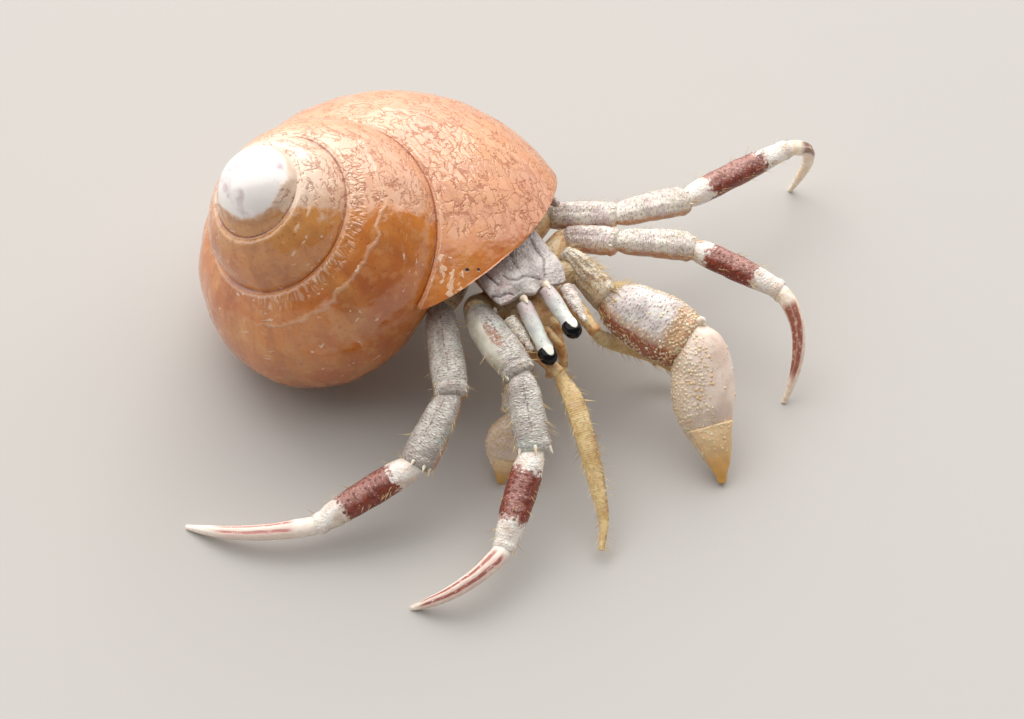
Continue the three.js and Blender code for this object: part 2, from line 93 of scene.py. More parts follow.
class Wire:
    """A node socket in a shader or a geometry tree; Python's operators on it add the nodes they stand for."""

    def __init__(self, tree, socket=None):
        self.tree = tree
        self.socket = socket

    def add(self, kind, settings=None, inputs=None, output=0):
        """A new node: settings first, then values or wires for its sockets; returns one of its outputs."""
        node = self.tree.nodes.new(kind)
        for name, value in (settings or {}).items():
            setattr(node, name, value)
        for key, value in (inputs or {}).items():
            socket = node.inputs[key]
            if isinstance(value, Wire):
                self.tree.links.new(value.socket, socket)
            elif socket.type == "RGBA" and len(value) == 3:
                socket.default_value = (*value, 1)
            else:
                socket.default_value = value
        return Wire(self.tree, node.outputs[output] if node.outputs else None)

    def geo(self, kind, output=0, settings=None, **inputs):
        """A Geometry Nodes node; an underscore in the name of an input stands for a space."""
        named = {key.replace("_", " "): value for key, value in inputs.items()}
        return self.add("GeometryNode" + kind, settings, named, output)

    def sibling(self, output):
        return Wire(self.tree, self.socket.node.outputs[output])

    def maths(self, operation, *others):
        values = (self, *others)
        if any(isinstance(v, Wire) and v.socket.type == "VECTOR" for v in values):
            values = [v if isinstance(v, (Wire, tuple)) else (v, v, v) for v in values]
            return self.add("ShaderNodeVectorMath", {"operation": operation}, dict(enumerate(values)))
        return self.add("ShaderNodeMath", {"operation": operation}, dict(enumerate(values)))

    __add__ = __radd__ = partialmethod(maths, "ADD")
    __mul__ = __rmul__ = partialmethod(maths, "MULTIPLY")
    __sub__ = partialmethod(maths, "SUBTRACT")
    __truediv__ = partialmethod(maths, "DIVIDE")
    __abs__ = partialmethod(maths, "ABSOLUTE")
    exp = partialmethod(maths, "EXPONENT")
    sin = partialmethod(maths, "SINE")
    cos = partialmethod(maths, "COSINE")
    sqrt = partialmethod(maths, "SQRT")
    at_least = partialmethod(maths, "MAXIMUM")
    at_most = partialmethod(maths, "MINIMUM")

    def __rsub__(self, other):
        return self * -1 + other

    def dot(self, other):
        return self.maths("DOT_PRODUCT", other).sibling("Value")

    def length(self):
        return self.maths("LENGTH").sibling("Value")

    def xyz(self, x=0, y=0, z=0):
        return self.add("ShaderNodeCombineXYZ", None, {0: x, 1: y, 2: z})

    def step(self, low, high):
        """A smooth step from 0 at low to 1 at high."""
        return self.add("ShaderNodeMapRange", {"interpolation_type": "SMOOTHSTEP"},
                        {0: self, 1: low, 2: high})

    def axis(self, letter):
        return self.add("ShaderNodeSeparateXYZ", None, {0: self}, letter)

    def blend(self, below, above):
        """Two colours or shades mixed by this value."""
        return self.add("ShaderNodeMix", {"data_type": "RGBA"}, {0: self, 6: below, 7: above}, 2)

    def noise(self, scale, detail=2.0, roughness=0.5):
        return self.add("ShaderNodeTexNoise", None,
                        {"Vector": self, "Scale": scale, "Detail": detail, "Roughness": roughness})

    def cells(self, scale, feature="F1"):
        return self.add("ShaderNodeTexVoronoi", {"feature": feature}, {"Vector": self, "Scale": scale})


def new_material(name):
    """A material with an empty tree, and the wire that its nodes start from."""
    material = bpy.data.materials.new(name)
    material.use_nodes = True
    material.node_tree.nodes.clear()
    return material, Wire(material.node_tree)


def finish_material(start, height, depth, colour, roughness, ior=1.5, flesh=(0, 1), **sockets):
    """The surface shader; height, from 0 to 1, is relief of that depth in millimetres, and flesh says how
    much light goes under the skin and how far, in millimetres."""
    sockets |= {"Base_Color": colour, "Roughness": roughness, "IOR": ior}
    if flesh[0]:
        sockets |= {"Subsurface_Weight": flesh[0], "Subsurface_Scale": flesh[1] * MM}
    if height is not None:
        sockets["Normal"] = start.add("ShaderNodeBump", None,
                                      {"Height": height, "Distance": depth * MM, "Strength": 1.0}, "Normal")
    named = {key.replace("_", " "): value for key, value in sockets.items()}
    shader = start.add("ShaderNodeBsdfPrincipled", None, named)
    start.add("ShaderNodeOutputMaterial", None, {"Surface": shader})


def millimetres(start):
    return start.add("ShaderNodeTexCoord", output="Object") * 1000


FLOOR_SIZE = 6.0
FLOOR_COLOUR = (0.47, 0.455, 0.435)
floor_mesh = bpy.data.meshes.new("floor")
floor_mesh.from_pydata(
    [(x * FLOOR_SIZE / 2, y * FLOOR_SIZE / 2, 0) for x, y in ((-1, -1), (1, -1), (1, 1), (-1, 1))],
    [], [(0, 1, 2, 3)])
put("floor", floor_mesh)
floor_paint, start = new_material("floor")
finish_material(start, None, 0, FLOOR_COLOUR, 0.9)
floor_mesh.materials.append(floor_paint)

SKY_SIDE = (0.25, 0.75, 0.61)  # the middle of the bright half
SKY_EDGE = (0.16, 0.36)
SKY_LIGHT = (1.0, 0.98, 0.96)
SKY_DIM = (0.16, 0.155, 0.15)
SKY_STRENGTH = 1.56
world = bpy.data.worlds.new("surround")
world.use_nodes = True
world.node_tree.nodes.clear()
start = Wire(world.node_tree)
look = start.add("ShaderNodeTexCoord", output="Generated")
glow = look.dot(SKY_SIDE).step(*SKY_EDGE).blend(SKY_DIM, SKY_LIGHT)
surround = start.add("ShaderNodeBackground", None, {"Color": glow, "Strength": SKY_STRENGTH})
start.add("ShaderNodeOutputWorld", None, {"Surface": surround})
bpy.context.scene.world = world
bpy.context.scene.view_settings.view_transform = "Standard"

# ---------- snail shell ----------
# The borrowed shell is a thick lime spiral with an oily wet film, coiled to the right round a leaning axis.
# Its rule is a section that grows as it turns: Geometry Nodes sweep it from the tip to the lip, fold the wall
# over there and run it back inside. The tip is worn smooth by a dome.
SPIRE_APEX = Vector((-26.54, 10.15, 34.97))
SPIRE_TILT = 0.555
SPIRE_HEADING = 3.134
SPIRE_PHASE = 4.536
COIL_START = -6.3 * math.pi
HOLLOW_START = -1.15 * math.pi
LIP_GUESS = (-0.1 * math.pi, 0.0)
LIP_LIMITS = (-1.2 * math.pi, 0.3 * math.pi)
LIP_ANGLE = 0.02 * math.pi
LIP_CORNER = (0.6, 0.024)  # the flap is rounded off: millimetres back, over this share of the section
LIP_FACING = Vector((0.19, -0.511, -0.838)).normalized()
SECTION_TURN = 0.5235
SECTION_TAPER = -0.0074
FLARE = 0.022
FLARE_START = -0.8 * math.pi
CORE = 0.22
FLARE_LIMIT = 1.3
PILLAR_SHARE = 1.3  # how much the pillar in the middle gains on the wall
SEAM_LEAD = math.radians(63)  # the joining line of the sweep lies hidden under the whorl before
SEAM_SHARE = SEAM_LEAD / (2 * math.pi)
LIP_ROUNDS = 6
RUN_STRETCH = 1.3  # from the suture to the middle of the whorl
GIRTH_SHARE = 5.4  # length round a whorl for its suture radius
THREAD_LINE = (0.7, 0.5)  # millimetres below the suture, and half its width
SHELL_SIZES = {  # the named inputs of the sweep
    "Suture radius": 12.85,
    "Growth": 0.0871,
    "Steepness": 1.813,
    "Dome": 8.25,
    "Section width": 0.721,
    "Section height": 0.995,
    "Wall": 0.85,
    "Worn tip radius": 4.4,
    "Worn tip rise": 4.45,
    "Worn tip centre": -12.5,
    "Suture thread": 0.16,
}
OUTER_SHARE = 0.8  # share of the sweep's rings on the outside, the rest line the hollow
LIP_SHARE = 0.02
SHELL_RINGS = 720
SHELL_SIDES = 124

spire_axis = Vector((
    math.sin(SPIRE_TILT) * math.cos(SPIRE_HEADING),
    math.sin(SPIRE_TILT) * math.sin(SPIRE_HEADING),
    math.cos(SPIRE_TILT),
))
spire_across = Vector((
    math.cos(SPIRE_TILT) * math.cos(SPIRE_HEADING),
    math.cos(SPIRE_TILT) * math.sin(SPIRE_HEADING),
    -math.sin(SPIRE_TILT),
))
spire_side = spire_axis.cross(spire_across)


def new_rule(name, sizes, reads_mesh=False):
    """A Geometry Nodes tree with named size inputs: the tree, its start, its first input and its sizes."""
    tree = bpy.data.node_groups.new(name, "GeometryNodeTree")
    for way in ("OUTPUT", "INPUT")[:1 + reads_mesh]:
        tree.interface.new_socket("Geometry", in_out=way, socket_type="NodeSocketGeometry")
    for key in sizes:
        tree.interface.new_socket(key, in_out="INPUT", socket_type="NodeSocketFloat")
    start = Wire(tree)
    opening = start.add("NodeGroupInput")
    return tree, start, opening, {key: opening.sibling(key) for key in sizes}


def finish_rule(geometry, material):
    """Ends a tree with real, smooth faces in this material."""
    smooth = geometry.add("GeometryNodeSetShadeSmooth", None, {0: geometry.geo("RealizeInstances", Geometry=geometry)})
    geometry.add("NodeGroupOutput", None, {0: smooth.geo("SetMaterial", Geometry=smooth, Material=material)})


shell_tree, start, _, size = new_rule("spiral_shell", SHELL_SIZES)


def number(value):
    return start.add("ShaderNodeValue") * 0 + value


def from_spire(across, aside, height):
    """A point from its measures across, beside and along the spire axis."""
    parts = [start.xyz(wire, wire, wire) * tuple(axis)
             for wire, axis in zip((across, aside, height), (spire_across, spire_side, spire_axis))]
    return parts[0] + parts[1] + parts[2] + tuple(SPIRE_APEX)


def coil_place(angle, radius, height):
    """A point at this coil angle, distance from the spire axis and height along it."""
    turn = (angle + SPIRE_PHASE) * -1
    return from_spire(radius * turn.cos(), radius * turn.sin(), height)


def suture(angle):
    radius = size["Suture radius"] * (angle * size["Growth"]).exp()
    drop = radius * size["Steepness"]
    return radius, (drop * drop + size["Dome"] * size["Dome"]).sqrt() * -1


def whorl_section(angle):
    """The section's centre, half sizes and the turn of its upper suture point."""
    scale = size["Suture radius"] * (angle * (size["Growth"] + SECTION_TAPER)).exp()
    wide = scale * size["Section width"]
    tall = scale * size["Section height"]

    def unit(point):
        return (point[0] * cos + point[1] * sin) / wide, (point[1] * cos - point[0] * sin) / tall

    upper = unit(suture(angle))
    lower = unit(suture(angle + 2 * math.pi))
    run = (lower[0] - upper[0], lower[1] - upper[1])
    length = (run[0] * run[0] + run[1] * run[1]).sqrt()
    rise = (1 - length * length / 4).at_least(0).sqrt() / length
    middle = ((upper[0] + lower[0]) / 2 + rise * run[1], (upper[1] + lower[1]) / 2 - rise * run[0])
    centre = (middle[0] * wide * cos - middle[1] * tall * sin,
              middle[0] * wide * sin + middle[1] * tall * cos)
    turn = (upper[1] - middle[1]).maths("ARCTAN2", upper[0] - middle[0])
    return centre, wide, tall, turn


def whorl_point(angle, around, inset, narrowing=1.0):
    """A point of the whorl: around runs from 0 to 1 round the section from the hidden joining line."""
    centre, wide, tall, suture_turn = whorl_section(angle)
    turn = suture_turn + SEAM_LEAD - around * (2 * math.pi)
    late = ((angle - FLARE_START) / -FLARE_START).at_least(0).at_most(FLARE_LIMIT)
    open_out = late * late * FLARE + 1
    x = (wide - inset) * open_out * turn.cos() * narrowing
    y = (tall - inset) * open_out * turn.sin() * narrowing
    pillar = suture(angle)[0] * CORE + inset * PILLAR_SHARE
    radius = (centre[0] + x * cos - y * sin).at_least(pillar)
    return coil_place(angle, radius, centre[1] + x * sin + y * cos)


def beyond_lip(angle, around, inset):
    """How far a whorl point is past the plane of the mouth, in millimetres."""
    way = whorl_point(angle, around, inset) - lip_point
    corner = (1 - abs((around - SEAM_SHARE) / LIP_CORNER[1])).at_least(0)
    return way.dot(tuple(LIP_FACING)) + corner * corner * LIP_CORNER[0]


cos, sin = math.cos(SECTION_TURN), math.sin(SECTION_TURN)
lip_point = coil_place(number(LIP_ANGLE), *suture(number(LIP_ANGLE)))
grid = start.geo("MeshGrid", "Mesh", Size_X=1.0, Size_Y=1.0, Vertices_X=SHELL_RINGS, Vertices_Y=SHELL_SIDES + 1)
flat_place = start.geo("InputPosition")
along, around = (flat_place.axis(letter) + 0.5 for letter in "XY")
fold = ((along - OUTER_SHARE) / LIP_SHARE).at_least(0).at_most(1)
inset = (1 - (fold * math.pi).cos()) / 2 * size["Wall"]
angle_before, angle_now = (number(value) for value in LIP_GUESS)
past_before = beyond_lip(angle_before, around, inset)
past_now = beyond_lip(angle_now, around, inset)
for _ in range(LIP_ROUNDS):  # the secant rule finds where each line of the sweep meets the plane of the mouth
    stride = past_now * (angle_now - angle_before) / (past_now - past_before)
    angle_next = (angle_now - stride).at_least(LIP_LIMITS[0]).at_most(LIP_LIMITS[1])
    angle_before, past_before = angle_now, past_now
    angle_now, past_now = angle_next, beyond_lip(angle_next, around, inset)
growth_start, growth_end = ((size["Growth"] * end).exp() for end in (COIL_START, angle_now))
outer_run = (along / OUTER_SHARE).at_most(1)
grown = growth_start + (growth_end - growth_start) * outer_run  # rings lie evenly along the growing coil
outer_angle = grown.maths("LOGARITHM", math.e) / size["Growth"]
inner_run = ((along - OUTER_SHARE - LIP_SHARE) / (1 - OUTER_SHARE - LIP_SHARE)).at_least(0)
inner_angle = angle_now + (HOLLOW_START - angle_now) * inner_run
is_inner = inner_run.maths("GREATER_THAN", 0)
angle = outer_angle + (inner_angle - outer_angle) * is_inner
point = whorl_point(angle, around, inset, 1 - inner_run.step(0.9, 1.0))
coil_length = grown * size["Suture radius"] / size["Growth"] * RUN_STRETCH
below_suture = (around - SEAM_SHARE) * (size["Suture radius"] * grown * GIRTH_SHARE)
VECTOR_MAP = {"data_type": "FLOAT_VECTOR", "domain": "POINT"}
swept = start.geo("SetPosition", Position=point, Geometry=start.geo(
    "StoreNamedAttribute", settings=VECTOR_MAP, Geometry=grid, Name="growth",
    Value=start.xyz(coil_length, below_suture, is_inner.at_least(fold))))
# A fine raised thread runs along under the suture, and the whorl is slightly uneven from age
noted_place = start.geo("InputNamedAttribute", settings={"data_type": "FLOAT_VECTOR"}, Name="growth")
beside = noted_place.axis("Y")
thread = (1 - abs((beside - THREAD_LINE[0]) / THREAD_LINE[1])).at_least(0)
wander = (noted_place * (0.35, 0.12, 0)).noise(1.0, 3.0)
relief = thread * size["Suture thread"] + (wander - 0.5) * 0.5 * beside.step(0.5, 4)
outside = 1 - noted_place.axis("Z")
aged = start.geo("SetPosition", Geometry=swept, Offset=start.geo("InputNormal") * (relief * outside))
closed = start.geo("MergeByDistance", Geometry=aged, Distance=0.004)
# The worn tip: a dome on the axis that the first whorls sink into
dome = start.geo("MeshUVSphere", "Mesh", Segments=96, Rings=48, Radius=1.0)
dome_place = start.geo("InputPosition")
dome_point = from_spire(
    *(dome_place.axis(letter) * size["Worn tip radius"] for letter in "XY"),
    dome_place.axis("Z") * size["Worn tip rise"] + size["Worn tip centre"])
worn = start.geo("StoreNamedAttribute", settings=VECTOR_MAP, Name="growth", Value=(0.0, 50.0, -1.0),
                 Geometry=start.geo("SetPosition", Geometry=dome, Position=dome_point))
both = start.geo("JoinGeometry")
for part in (closed, worn):
    shell_tree.links.new(part.socket, both.socket.node.inputs[0])
above_floor = start.geo("InputPosition").at_least((-1000.0, -1000.0, 0.0))
footed = start.geo("SetPosition", Geometry=both, Position=above_floor)
shell_paint, paint_start = new_material("snail_shell")
finish_rule(start.geo("Transform", Geometry=footed, Scale=(MM, MM, MM)), shell_paint)


def grown_mesh(name, tree, values, base=None):
    """What a Geometry Nodes tree makes with these input values, on a mesh that it reads, as a plain mesh."""
    carrier = put(name + "_rule", base or bpy.data.meshes.new(name + "_rule"))
    modifier = carrier.modifiers.new("rule", "NODES")
    modifier.node_group = tree
    for item in tree.interface.items_tree:
        if item.in_out == "INPUT" and item.name in values:
            modifier[item.identifier] = values[item.name]
    graph = bpy.context.evaluated_depsgraph_get()
    mesh = bpy.data.meshes.new_from_object(carrier.evaluated_get(graph), depsgraph=graph)
    bpy.data.objects.remove(carrier)
    mesh.name = name
    return mesh


def seat(name, mesh, material, slot, *nodes):
    """Puts a finished piece on the animal, in place of the plain solids it is named for."""
    shape = bmesh.new()
    shape.from_mesh(mesh)
    bmesh.ops.recalc_face_normals(shape, faces=shape.faces)
    shape.to_mesh(mesh)
    shape.free()
    mesh.materials.clear()
    mesh.materials.append(material)
    piece = put(name, mesh)
    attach(piece, "root")
    if nodes:
        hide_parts(*nodes)


seat("snail_shell", grown_mesh("snail_shell", shell_tree, SHELL_SIZES), shell_paint, "snail_shell", "shell")


def tone(red, green, blue):
    """A colour given as seen, 0 to 255, for the shaders."""
    return tuple((value / 255) ** 2.2 for value in (red, green, blue))


def coats(shade, *layers):
    """A colour with others laid over it, each with its mask and given as seen, 0 to 255."""
    for mask, colour in layers:
        shade = mask.blend(shade, colour if isinstance(colour, Wire) else tone(*colour))
    return shade


def mottle(place, scale, detail, *colours, edge=(0.35, 0.65)):
    """Two colours in soft patches."""
    return place.noise(scale, detail).step(*edge).blend(*(tone(*colour) for colour in colours))


def ridge(share, middle, half):
    """1 on a line at this value, falling to 0 at half a width either side."""
    return 1 - abs((share - middle) / half).at_most(1)


CARAMEL = (212, 128, 48)
RUST = (184, 94, 34)
HONEY = (216, 152, 80)
SKY_SHEEN_PEACH = (226, 172, 138)
CREASE = (130, 58, 26)
CRACK = (164, 84, 34)
# cream of the worn lime near the tip, paled further on the upper side by painted reflection of the sky
WORN_CREAM_AND_SHEEN = (250, 230, 208)
WORN_AND_SHEEN_SIDE = (0.42, 0.64, 0.64)  # the side that lies uppermost: worn and cracked, and facing the bright sky, whose reflection is painted onto it as colour
WORN_AND_SHEEN_EDGE = (10.9, 12.6)  # millimetres towards that side
MOUTH_RUN = (160, 174)  # where along the coil the last stretch before the mouth starts
PEARL = (250, 245, 243)
PEARL_SHADE = (204, 184, 190)
HOLLOW_TINT = (176, 112, 68)
PITS = ((-6.24, -2.97, 17.45), (-5.28, -3.39, 17.26))
PIT_RADIUS = 0.24
TIP_RADIUS = 3.7
LADDER_RUN = (98, 103, 121, 126)  # where along the coil the wrinkled band under the suture starts and ends
place = millimetres(paint_start)
growth_map = paint_start.add("ShaderNodeAttribute", {"attribute_name": "growth"}, output="Vector")
run, down, side_flag = (growth_map.axis(letter) for letter in "XYZ")
sway = place.noise(0.5, 3.0)
sway_fine = place.noise(2.4, 2.0)
below = down.at_least(0)


def coil_cells(per_run, per_down, wander):
    """Irregular cells that lie along the coil, so many to the millimetre each way."""
    return place.xyz(run * per_run + sway * wander * 2.4 + sway_fine * 0.5,
                     below * per_down + sway * wander * 1.6 - sway_fine * 0.6)


def seams(cells, *edge):
    """1 on the lines between cells."""
    return 1 - cells.cells(1.0, "DISTANCE_TO_EDGE").step(*edge)


near_mouth = run.step(*MOUTH_RUN)
# The upper side is worn and cracked, and the sky's reflection on it is painted in as a pale peach colour: painted
# reflection
worn_and_sheened = (place.dot(WORN_AND_SHEEN_SIDE) + (sway - 0.5) * 7 + (sway_fine - 0.5) * 2 + near_mouth * 1.6).step(*WORN_AND_SHEEN_EDGE)
unworn_and_unsheened = 1 - worn_and_sheened
cord_line = seams(coil_cells(0.16, 0.62, 1.1), 0.004, 0.045)
scale_cells = coil_cells(0.6, 1.4, 1.0)
scale_line = seams(scale_cells, 0.01, 0.085)
soft_scale = seams(scale_cells, 0.0, 0.3)
broken = place.noise(0.7, 2.0).step(0.42, 0.54)
broken_fine = place.noise(0.9, 3.0).step(0.45, 0.56).at_least(near_mouth * 0.55)
network = (cord_line * broken * (worn_and_sheened * 0.9 + 0.1) + scale_line * broken_fine * worn_and_sheened * 0.9).at_most(1)
long_wave = abs((run * 0.55 + sway * 3.4 + sway_fine * 0.6).sin())
growth_line = (1 - long_wave.step(0.0, 0.06)) * place.noise(0.22, 1.0).step(0.46, 0.56) * (worn_and_sheened * 0.6 + 0.3)
band_span = run.step(*LADDER_RUN[:2]) * (1 - run.step(*LADDER_RUN[2:]))
rungs = 1 - seams(coil_cells(1.9, 0.9, 0.5), 0.04, 0.26)
ladder = rungs * below.step(0.35, 0.6) * (1 - (below + sway_fine * 0.9).step(1.9, 2.4)) * band_span
band_rim = ridge(below + (sway - 0.5) * 2.0, 2.9, 0.3) * band_span
bead = ridge(down + (sway_fine - 0.5) * 0.3, 0.5, 0.2)
# Small raised flecks on the lower shell and larger patches before the mouth are painted pale: painted glints of the sky
glint_cell = coil_cells(0.75, 1.5, 1.5).cells(1.0)
glint_rare = glint_cell.sibling("Color").axis("X").step(0.3, 0.36) * place.noise(0.35, 1.0).step(0.38, 0.5)
glint_fleck = (1 - glint_cell.step(0.12, 0.22)) * glint_rare * unworn_and_unsheened
patch_cell = coil_cells(0.42, 0.8, 1.6).cells(1.0)
gleam = ((1 - (patch_cell + (sway_fine - 0.5) * 0.3).step(0.2, 0.3))
         * patch_cell.sibling("Color").axis("Y").step(0.4, 0.46) * near_mouth * unworn_and_unsheened)
axis_distance = (place - tuple(SPIRE_APEX)).maths("CROSS_PRODUCT", tuple(spire_axis)).length()
tip_distance = axis_distance + (place.noise(0.6, 4.0) - 0.5) * 1.1
tip = 1 - tip_distance.step(TIP_RADIUS - 0.25, TIP_RADIUS + 0.15)
tip_rim = ridge(tip_distance, TIP_RADIUS + 0.25, 0.35)
around_tip = 1 - axis_distance.step(TIP_RADIUS, TIP_RADIUS + 5)
# the raised marks are painted pale below: painted highlights on their crests and painted glints
raised = (ladder * 0.35 + band_rim * 0.4 + bead * 0.35 + glint_fleck * 0.75 + gleam * 0.75).at_most(1)
# A dark line along the suture groove between the whorls: painted shade in the groove
suture_line = 1 - abs(down).step(0.02, 0.2)
pearly = (place.noise(0.45, 4.0) + (1 - axis_distance / TIP_RADIUS) * -0.06).step(0.5, 0.72)
tint = coats(
    mottle(place, 0.13, 3.0, CARAMEL, RUST, edge=(0.3, 0.7)),
    (place.noise(0.24, 5.0).step(0.45, 0.75) * 0.6, HONEY),
    (around_tip * 0.6, (230, 176, 108)),
    (coil_cells(0.8, 0.05, 0.6).noise(1.0, 4.0).step(0.4, 0.7) * 0.4, (156, 78, 30)),
    (place.noise(0.9, 4.0).step(0.52, 0.66) * 0.3, (224, 164, 104)),
    # the upper side painted peach: painted reflection of the sky
    (worn_and_sheened * (place.noise(0.5, 3.0) + 0.4).at_most(1) * (near_mouth * -0.4 + 0.85), SKY_SHEEN_PEACH),
    # round the tip on the upper side: worn cream with painted sky reflection on it
    (around_tip * worn_and_sheened * 0.8, WORN_CREAM_AND_SHEEN),
    ((network * (near_mouth * 0.15 + 0.7) + growth_line * 0.4).at_most(1), CRACK),
    (tip_rim * 0.3, CREASE),
    ((1 - place.noise(3.0, 2.0).step(0.3, 0.42)) * unworn_and_unsheened * 0.35, (140, 66, 28)),
    # raised marks painted pale: painted highlights and glints
    (raised * (1 - network), (246, 208, 176)),
    # the suture painted dark: painted shade
    (suture_line * 0.85, CREASE),
    (tip * 0.97, pearly.blend(tone(*PEARL), tone(*PEARL_SHADE))),
    (side_flag.step(0.3, 0.7), HOLLOW_TINT))
height = (place.noise(0.4, 2.0) * 0.12 + place.noise(1.5, 2.0) * 0.02 - network * 0.03 - growth_line * 0.03
          - soft_scale * worn_and_sheened * broken_fine * 0.02 + ladder * 0.05 + band_rim * 0.07 + bead * 0.04
          + glint_fleck * 0.03 + gleam * 0.03 - suture_line * 0.05) * (1 - tip * 0.75)
# Two small pits sink into the shell and are painted near-black inside: painted shade
for pit in PITS:
    sunk = 1 - (place - pit).length().step(PIT_RADIUS * 0.7, PIT_RADIUS)
    tint = coats(tint, (sunk, (16, 7, 5)))
    height = height - sunk * 0.1
wet = place.noise(0.9, 3.0).step(0.35, 0.7) * 0.06 + 0.08 + side_flag.at_least(0) * 0.2 + network * 0.5
finish_material(paint_start, height, 1.0, tint, wet, 1.6, Specular_IOR_Level=0.9)

# ---------- soft body ----------
# Thorax, abdomen and the fleshy roots of the legs are one wet, wrinkled skin with no plates. The thorax is
# wide and flat; the abdomen curls back to the right into the shell, which hides nearly all of it.
ORIGIN = Vector((0.7, 2.2, 0.0))  # the tables below count millimetres from the middle of the head
PLATE_GRAIN = 0.11  # side of a plate's faces, millimetres
END_RINGS = 6
UP = (0, 0, 1)


def flow(stations, count):
    """The stations carried to an even, smooth run through the same places."""
    table = np.array(stations, float)
    steps = np.linalg.norm(np.diff(table[:, :3], axis=0), axis=1)
    reach = np.concatenate([[0], np.cumsum(steps)])
    slope = np.gradient(table, reach, axis=0)
    asked = np.linspace(0, reach[-1], count)
    part = np.clip(np.searchsorted(reach, asked) - 1, 0, len(steps) - 1)
    span = steps[part][:, None]
    t = ((asked - reach[part]) / steps[part])[:, None]
    value = (table[part] * (1 + 2 * t) * (1 - t) ** 2 + slope[part] * span * t * (1 - t) ** 2
             + table[part + 1] * t * t * (3 - 2 * t) + slope[part + 1] * span * t * t * (t - 1))
    return value, reach[-1]


def unit_rows(table):
    return table / np.linalg.norm(table, axis=1)[:, None]


def write(layer, kind, values):
    """Fills a layer of a mesh with these numbers."""
    layer.data.foreach_set(kind, np.asarray(values, np.float32).ravel())


def plate_mesh(name, stations, up=UP, square=1.0, ends=0.18, relief=None, warp=None, marks=None,
               grain=PLATE_GRAIN):
    """A closed tube through stations of place, width and depth, rounded at both ends.

    Its map Plate holds shares, along it and once round it from below; Grain holds the same in millimetres.
    relief swells it by millimetres, warp moves its points, marks name densities kept for what grows on it.
    """
    sizes_along = np.array(stations, float)
    rough_length = np.linalg.norm(np.diff(sizes_along[:, :3], axis=0), axis=1).sum()
    girth = 1.6 * (sizes_along[:, 3] + sizes_along[:, 4]).max()
    count = max(10, round(rough_length / grain))
    sides = max(18, 2 * round(girth / grain / 2))
    line, length = flow(stations, count)
    way = unit_rows(np.gradient(line[:, :3], axis=0))
    across = unit_rows(np.cross(way, np.array(up, float)))
    deep = np.cross(across, way)
    lean = (np.arange(END_RINGS) + 0.5) / END_RINGS * math.pi / 2
    narrow = np.concatenate([np.sin(lean), np.ones(count), np.cos(lean)])
    first, last = ends * line[0, 4], ends * line[-1, 4]
    push = np.concatenate([-first * np.cos(lean), np.zeros(count), last * np.sin(lean)])
    pick = np.concatenate([np.zeros(END_RINGS, int), np.arange(count), np.full(END_RINGS, count - 1)])
    turn = 2 * math.pi * np.arange(sides) / sides - math.pi / 2
    cos, sin = (np.sign(wave) * np.abs(wave) ** square for wave in (np.cos(turn), np.sin(turn)))
    share = np.linspace(0, 1, count)[pick]
    t = share[:, None] * np.ones(sides)
    v = np.ones(len(pick))[:, None] * (np.arange(sides) / sides)
    swell = relief(t, v) if relief else np.zeros_like(t)
    wide, tall = ((line[pick, k][:, None] / 2 + swell) * narrow[:, None] * wave for k, wave in ((3, cos), (4, sin)))
    centre = line[pick, :3] + way[pick] * push[:, None]
    rings = centre[:, None] + across[pick][:, None] * wide[..., None] + deep[pick][:, None] * tall[..., None]
    caps = (centre[0] - way[0] * first * 0.05, centre[-1] + way[-1] * last * 0.05)
    points = np.concatenate([rings.reshape(-1, 3), caps])
    if warp:
        points = warp(points)
    points[:, 2] = np.maximum(points[:, 2], 0.0)
    rows, columns = np.meshgrid(np.arange(len(pick) - 1), np.arange(sides), indexing="ij")
    corners = ((0, 0), (1, 0), (1, 1), (0, 1))
    quads = np.stack([(rows + i) * sides + (columns + j) % sides for i, j in corners], axis=-1).reshape(-1, 4)
    shares = np.stack([np.stack([share[rows + i], (columns + j) / sides], -1) for i, j in corners],
                      axis=2).reshape(-1, 2)
    faces = [tuple(quad) for quad in quads.tolist()]
    cap_shares = []
    for j in range(sides):
        for end, row, turns in ((0, 0, (j, j + 1)), (1, (len(pick) - 1) * sides, (j + 1, j))):
            faces.append((len(pick) * sides + end, *(row + k % sides for k in turns)))
            cap_shares += [(end, k / sides) for k in (j + 0.5, *turns)]
    shares = np.concatenate([shares, cap_shares])
    mesh = bpy.data.meshes.new(name)
    mesh.from_pydata([tuple(p) for p in (points - np.array(ORIGIN)) * MM], [], faces)
    mesh.polygons.foreach_set("use_smooth", [True] * len(faces))
    for map_name, scale in (("Plate", (1, 1)), ("Grain", (length, girth))):
        write(mesh.uv_layers.new(name=map_name), "uv", shares * scale)
    lie = np.concatenate([np.repeat(way[pick], sides, axis=0), way[[0, -1]]])
    roots = np.concatenate([np.stack([t.ravel(), v.ravel(), t.ravel() * 0], axis=1), np.zeros((2, 3))])
    for title, values in (("lie", lie), ("root_map", roots)):
        write(mesh.attributes.new(title, "FLOAT_VECTOR", "POINT"), "vector", values)
    for mark, density in (marks or {}).items():
        values = np.concatenate([np.broadcast_to(density(t, v), t.shape).ravel(), [0, 0]])
        write(mesh.attributes.new(mark, "FLOAT", "POINT"), "value", values)
    return mesh


def between(start_point, end_point, shape, scale=1.0, bow=(0, 0, 0)):
    """Stations of a plate between two joints, after a table of share, width and depth, bowed aside."""
    a, b, side = (Vector(p) for p in (start_point, end_point, bow))
    return [(*(a.lerp(b, t) + side * 4 * t * (1 - t)), wide * scale, tall * scale) for t, wide, tall in shape]


def joined(name, meshes):
    """One mesh of several; each keeps its own closed skin."""
    shape = bmesh.new()
    for mesh in meshes:
        shape.from_mesh(mesh)
    result = bpy.data.meshes.new(name)
    shape.to_mesh(result)
    shape.free()
    return result


def bump_of(value, middle, half):
    """1 at this value, falling smoothly to 0 at half a width either side."""
    return np.exp(-((value - middle) / half) ** 2)


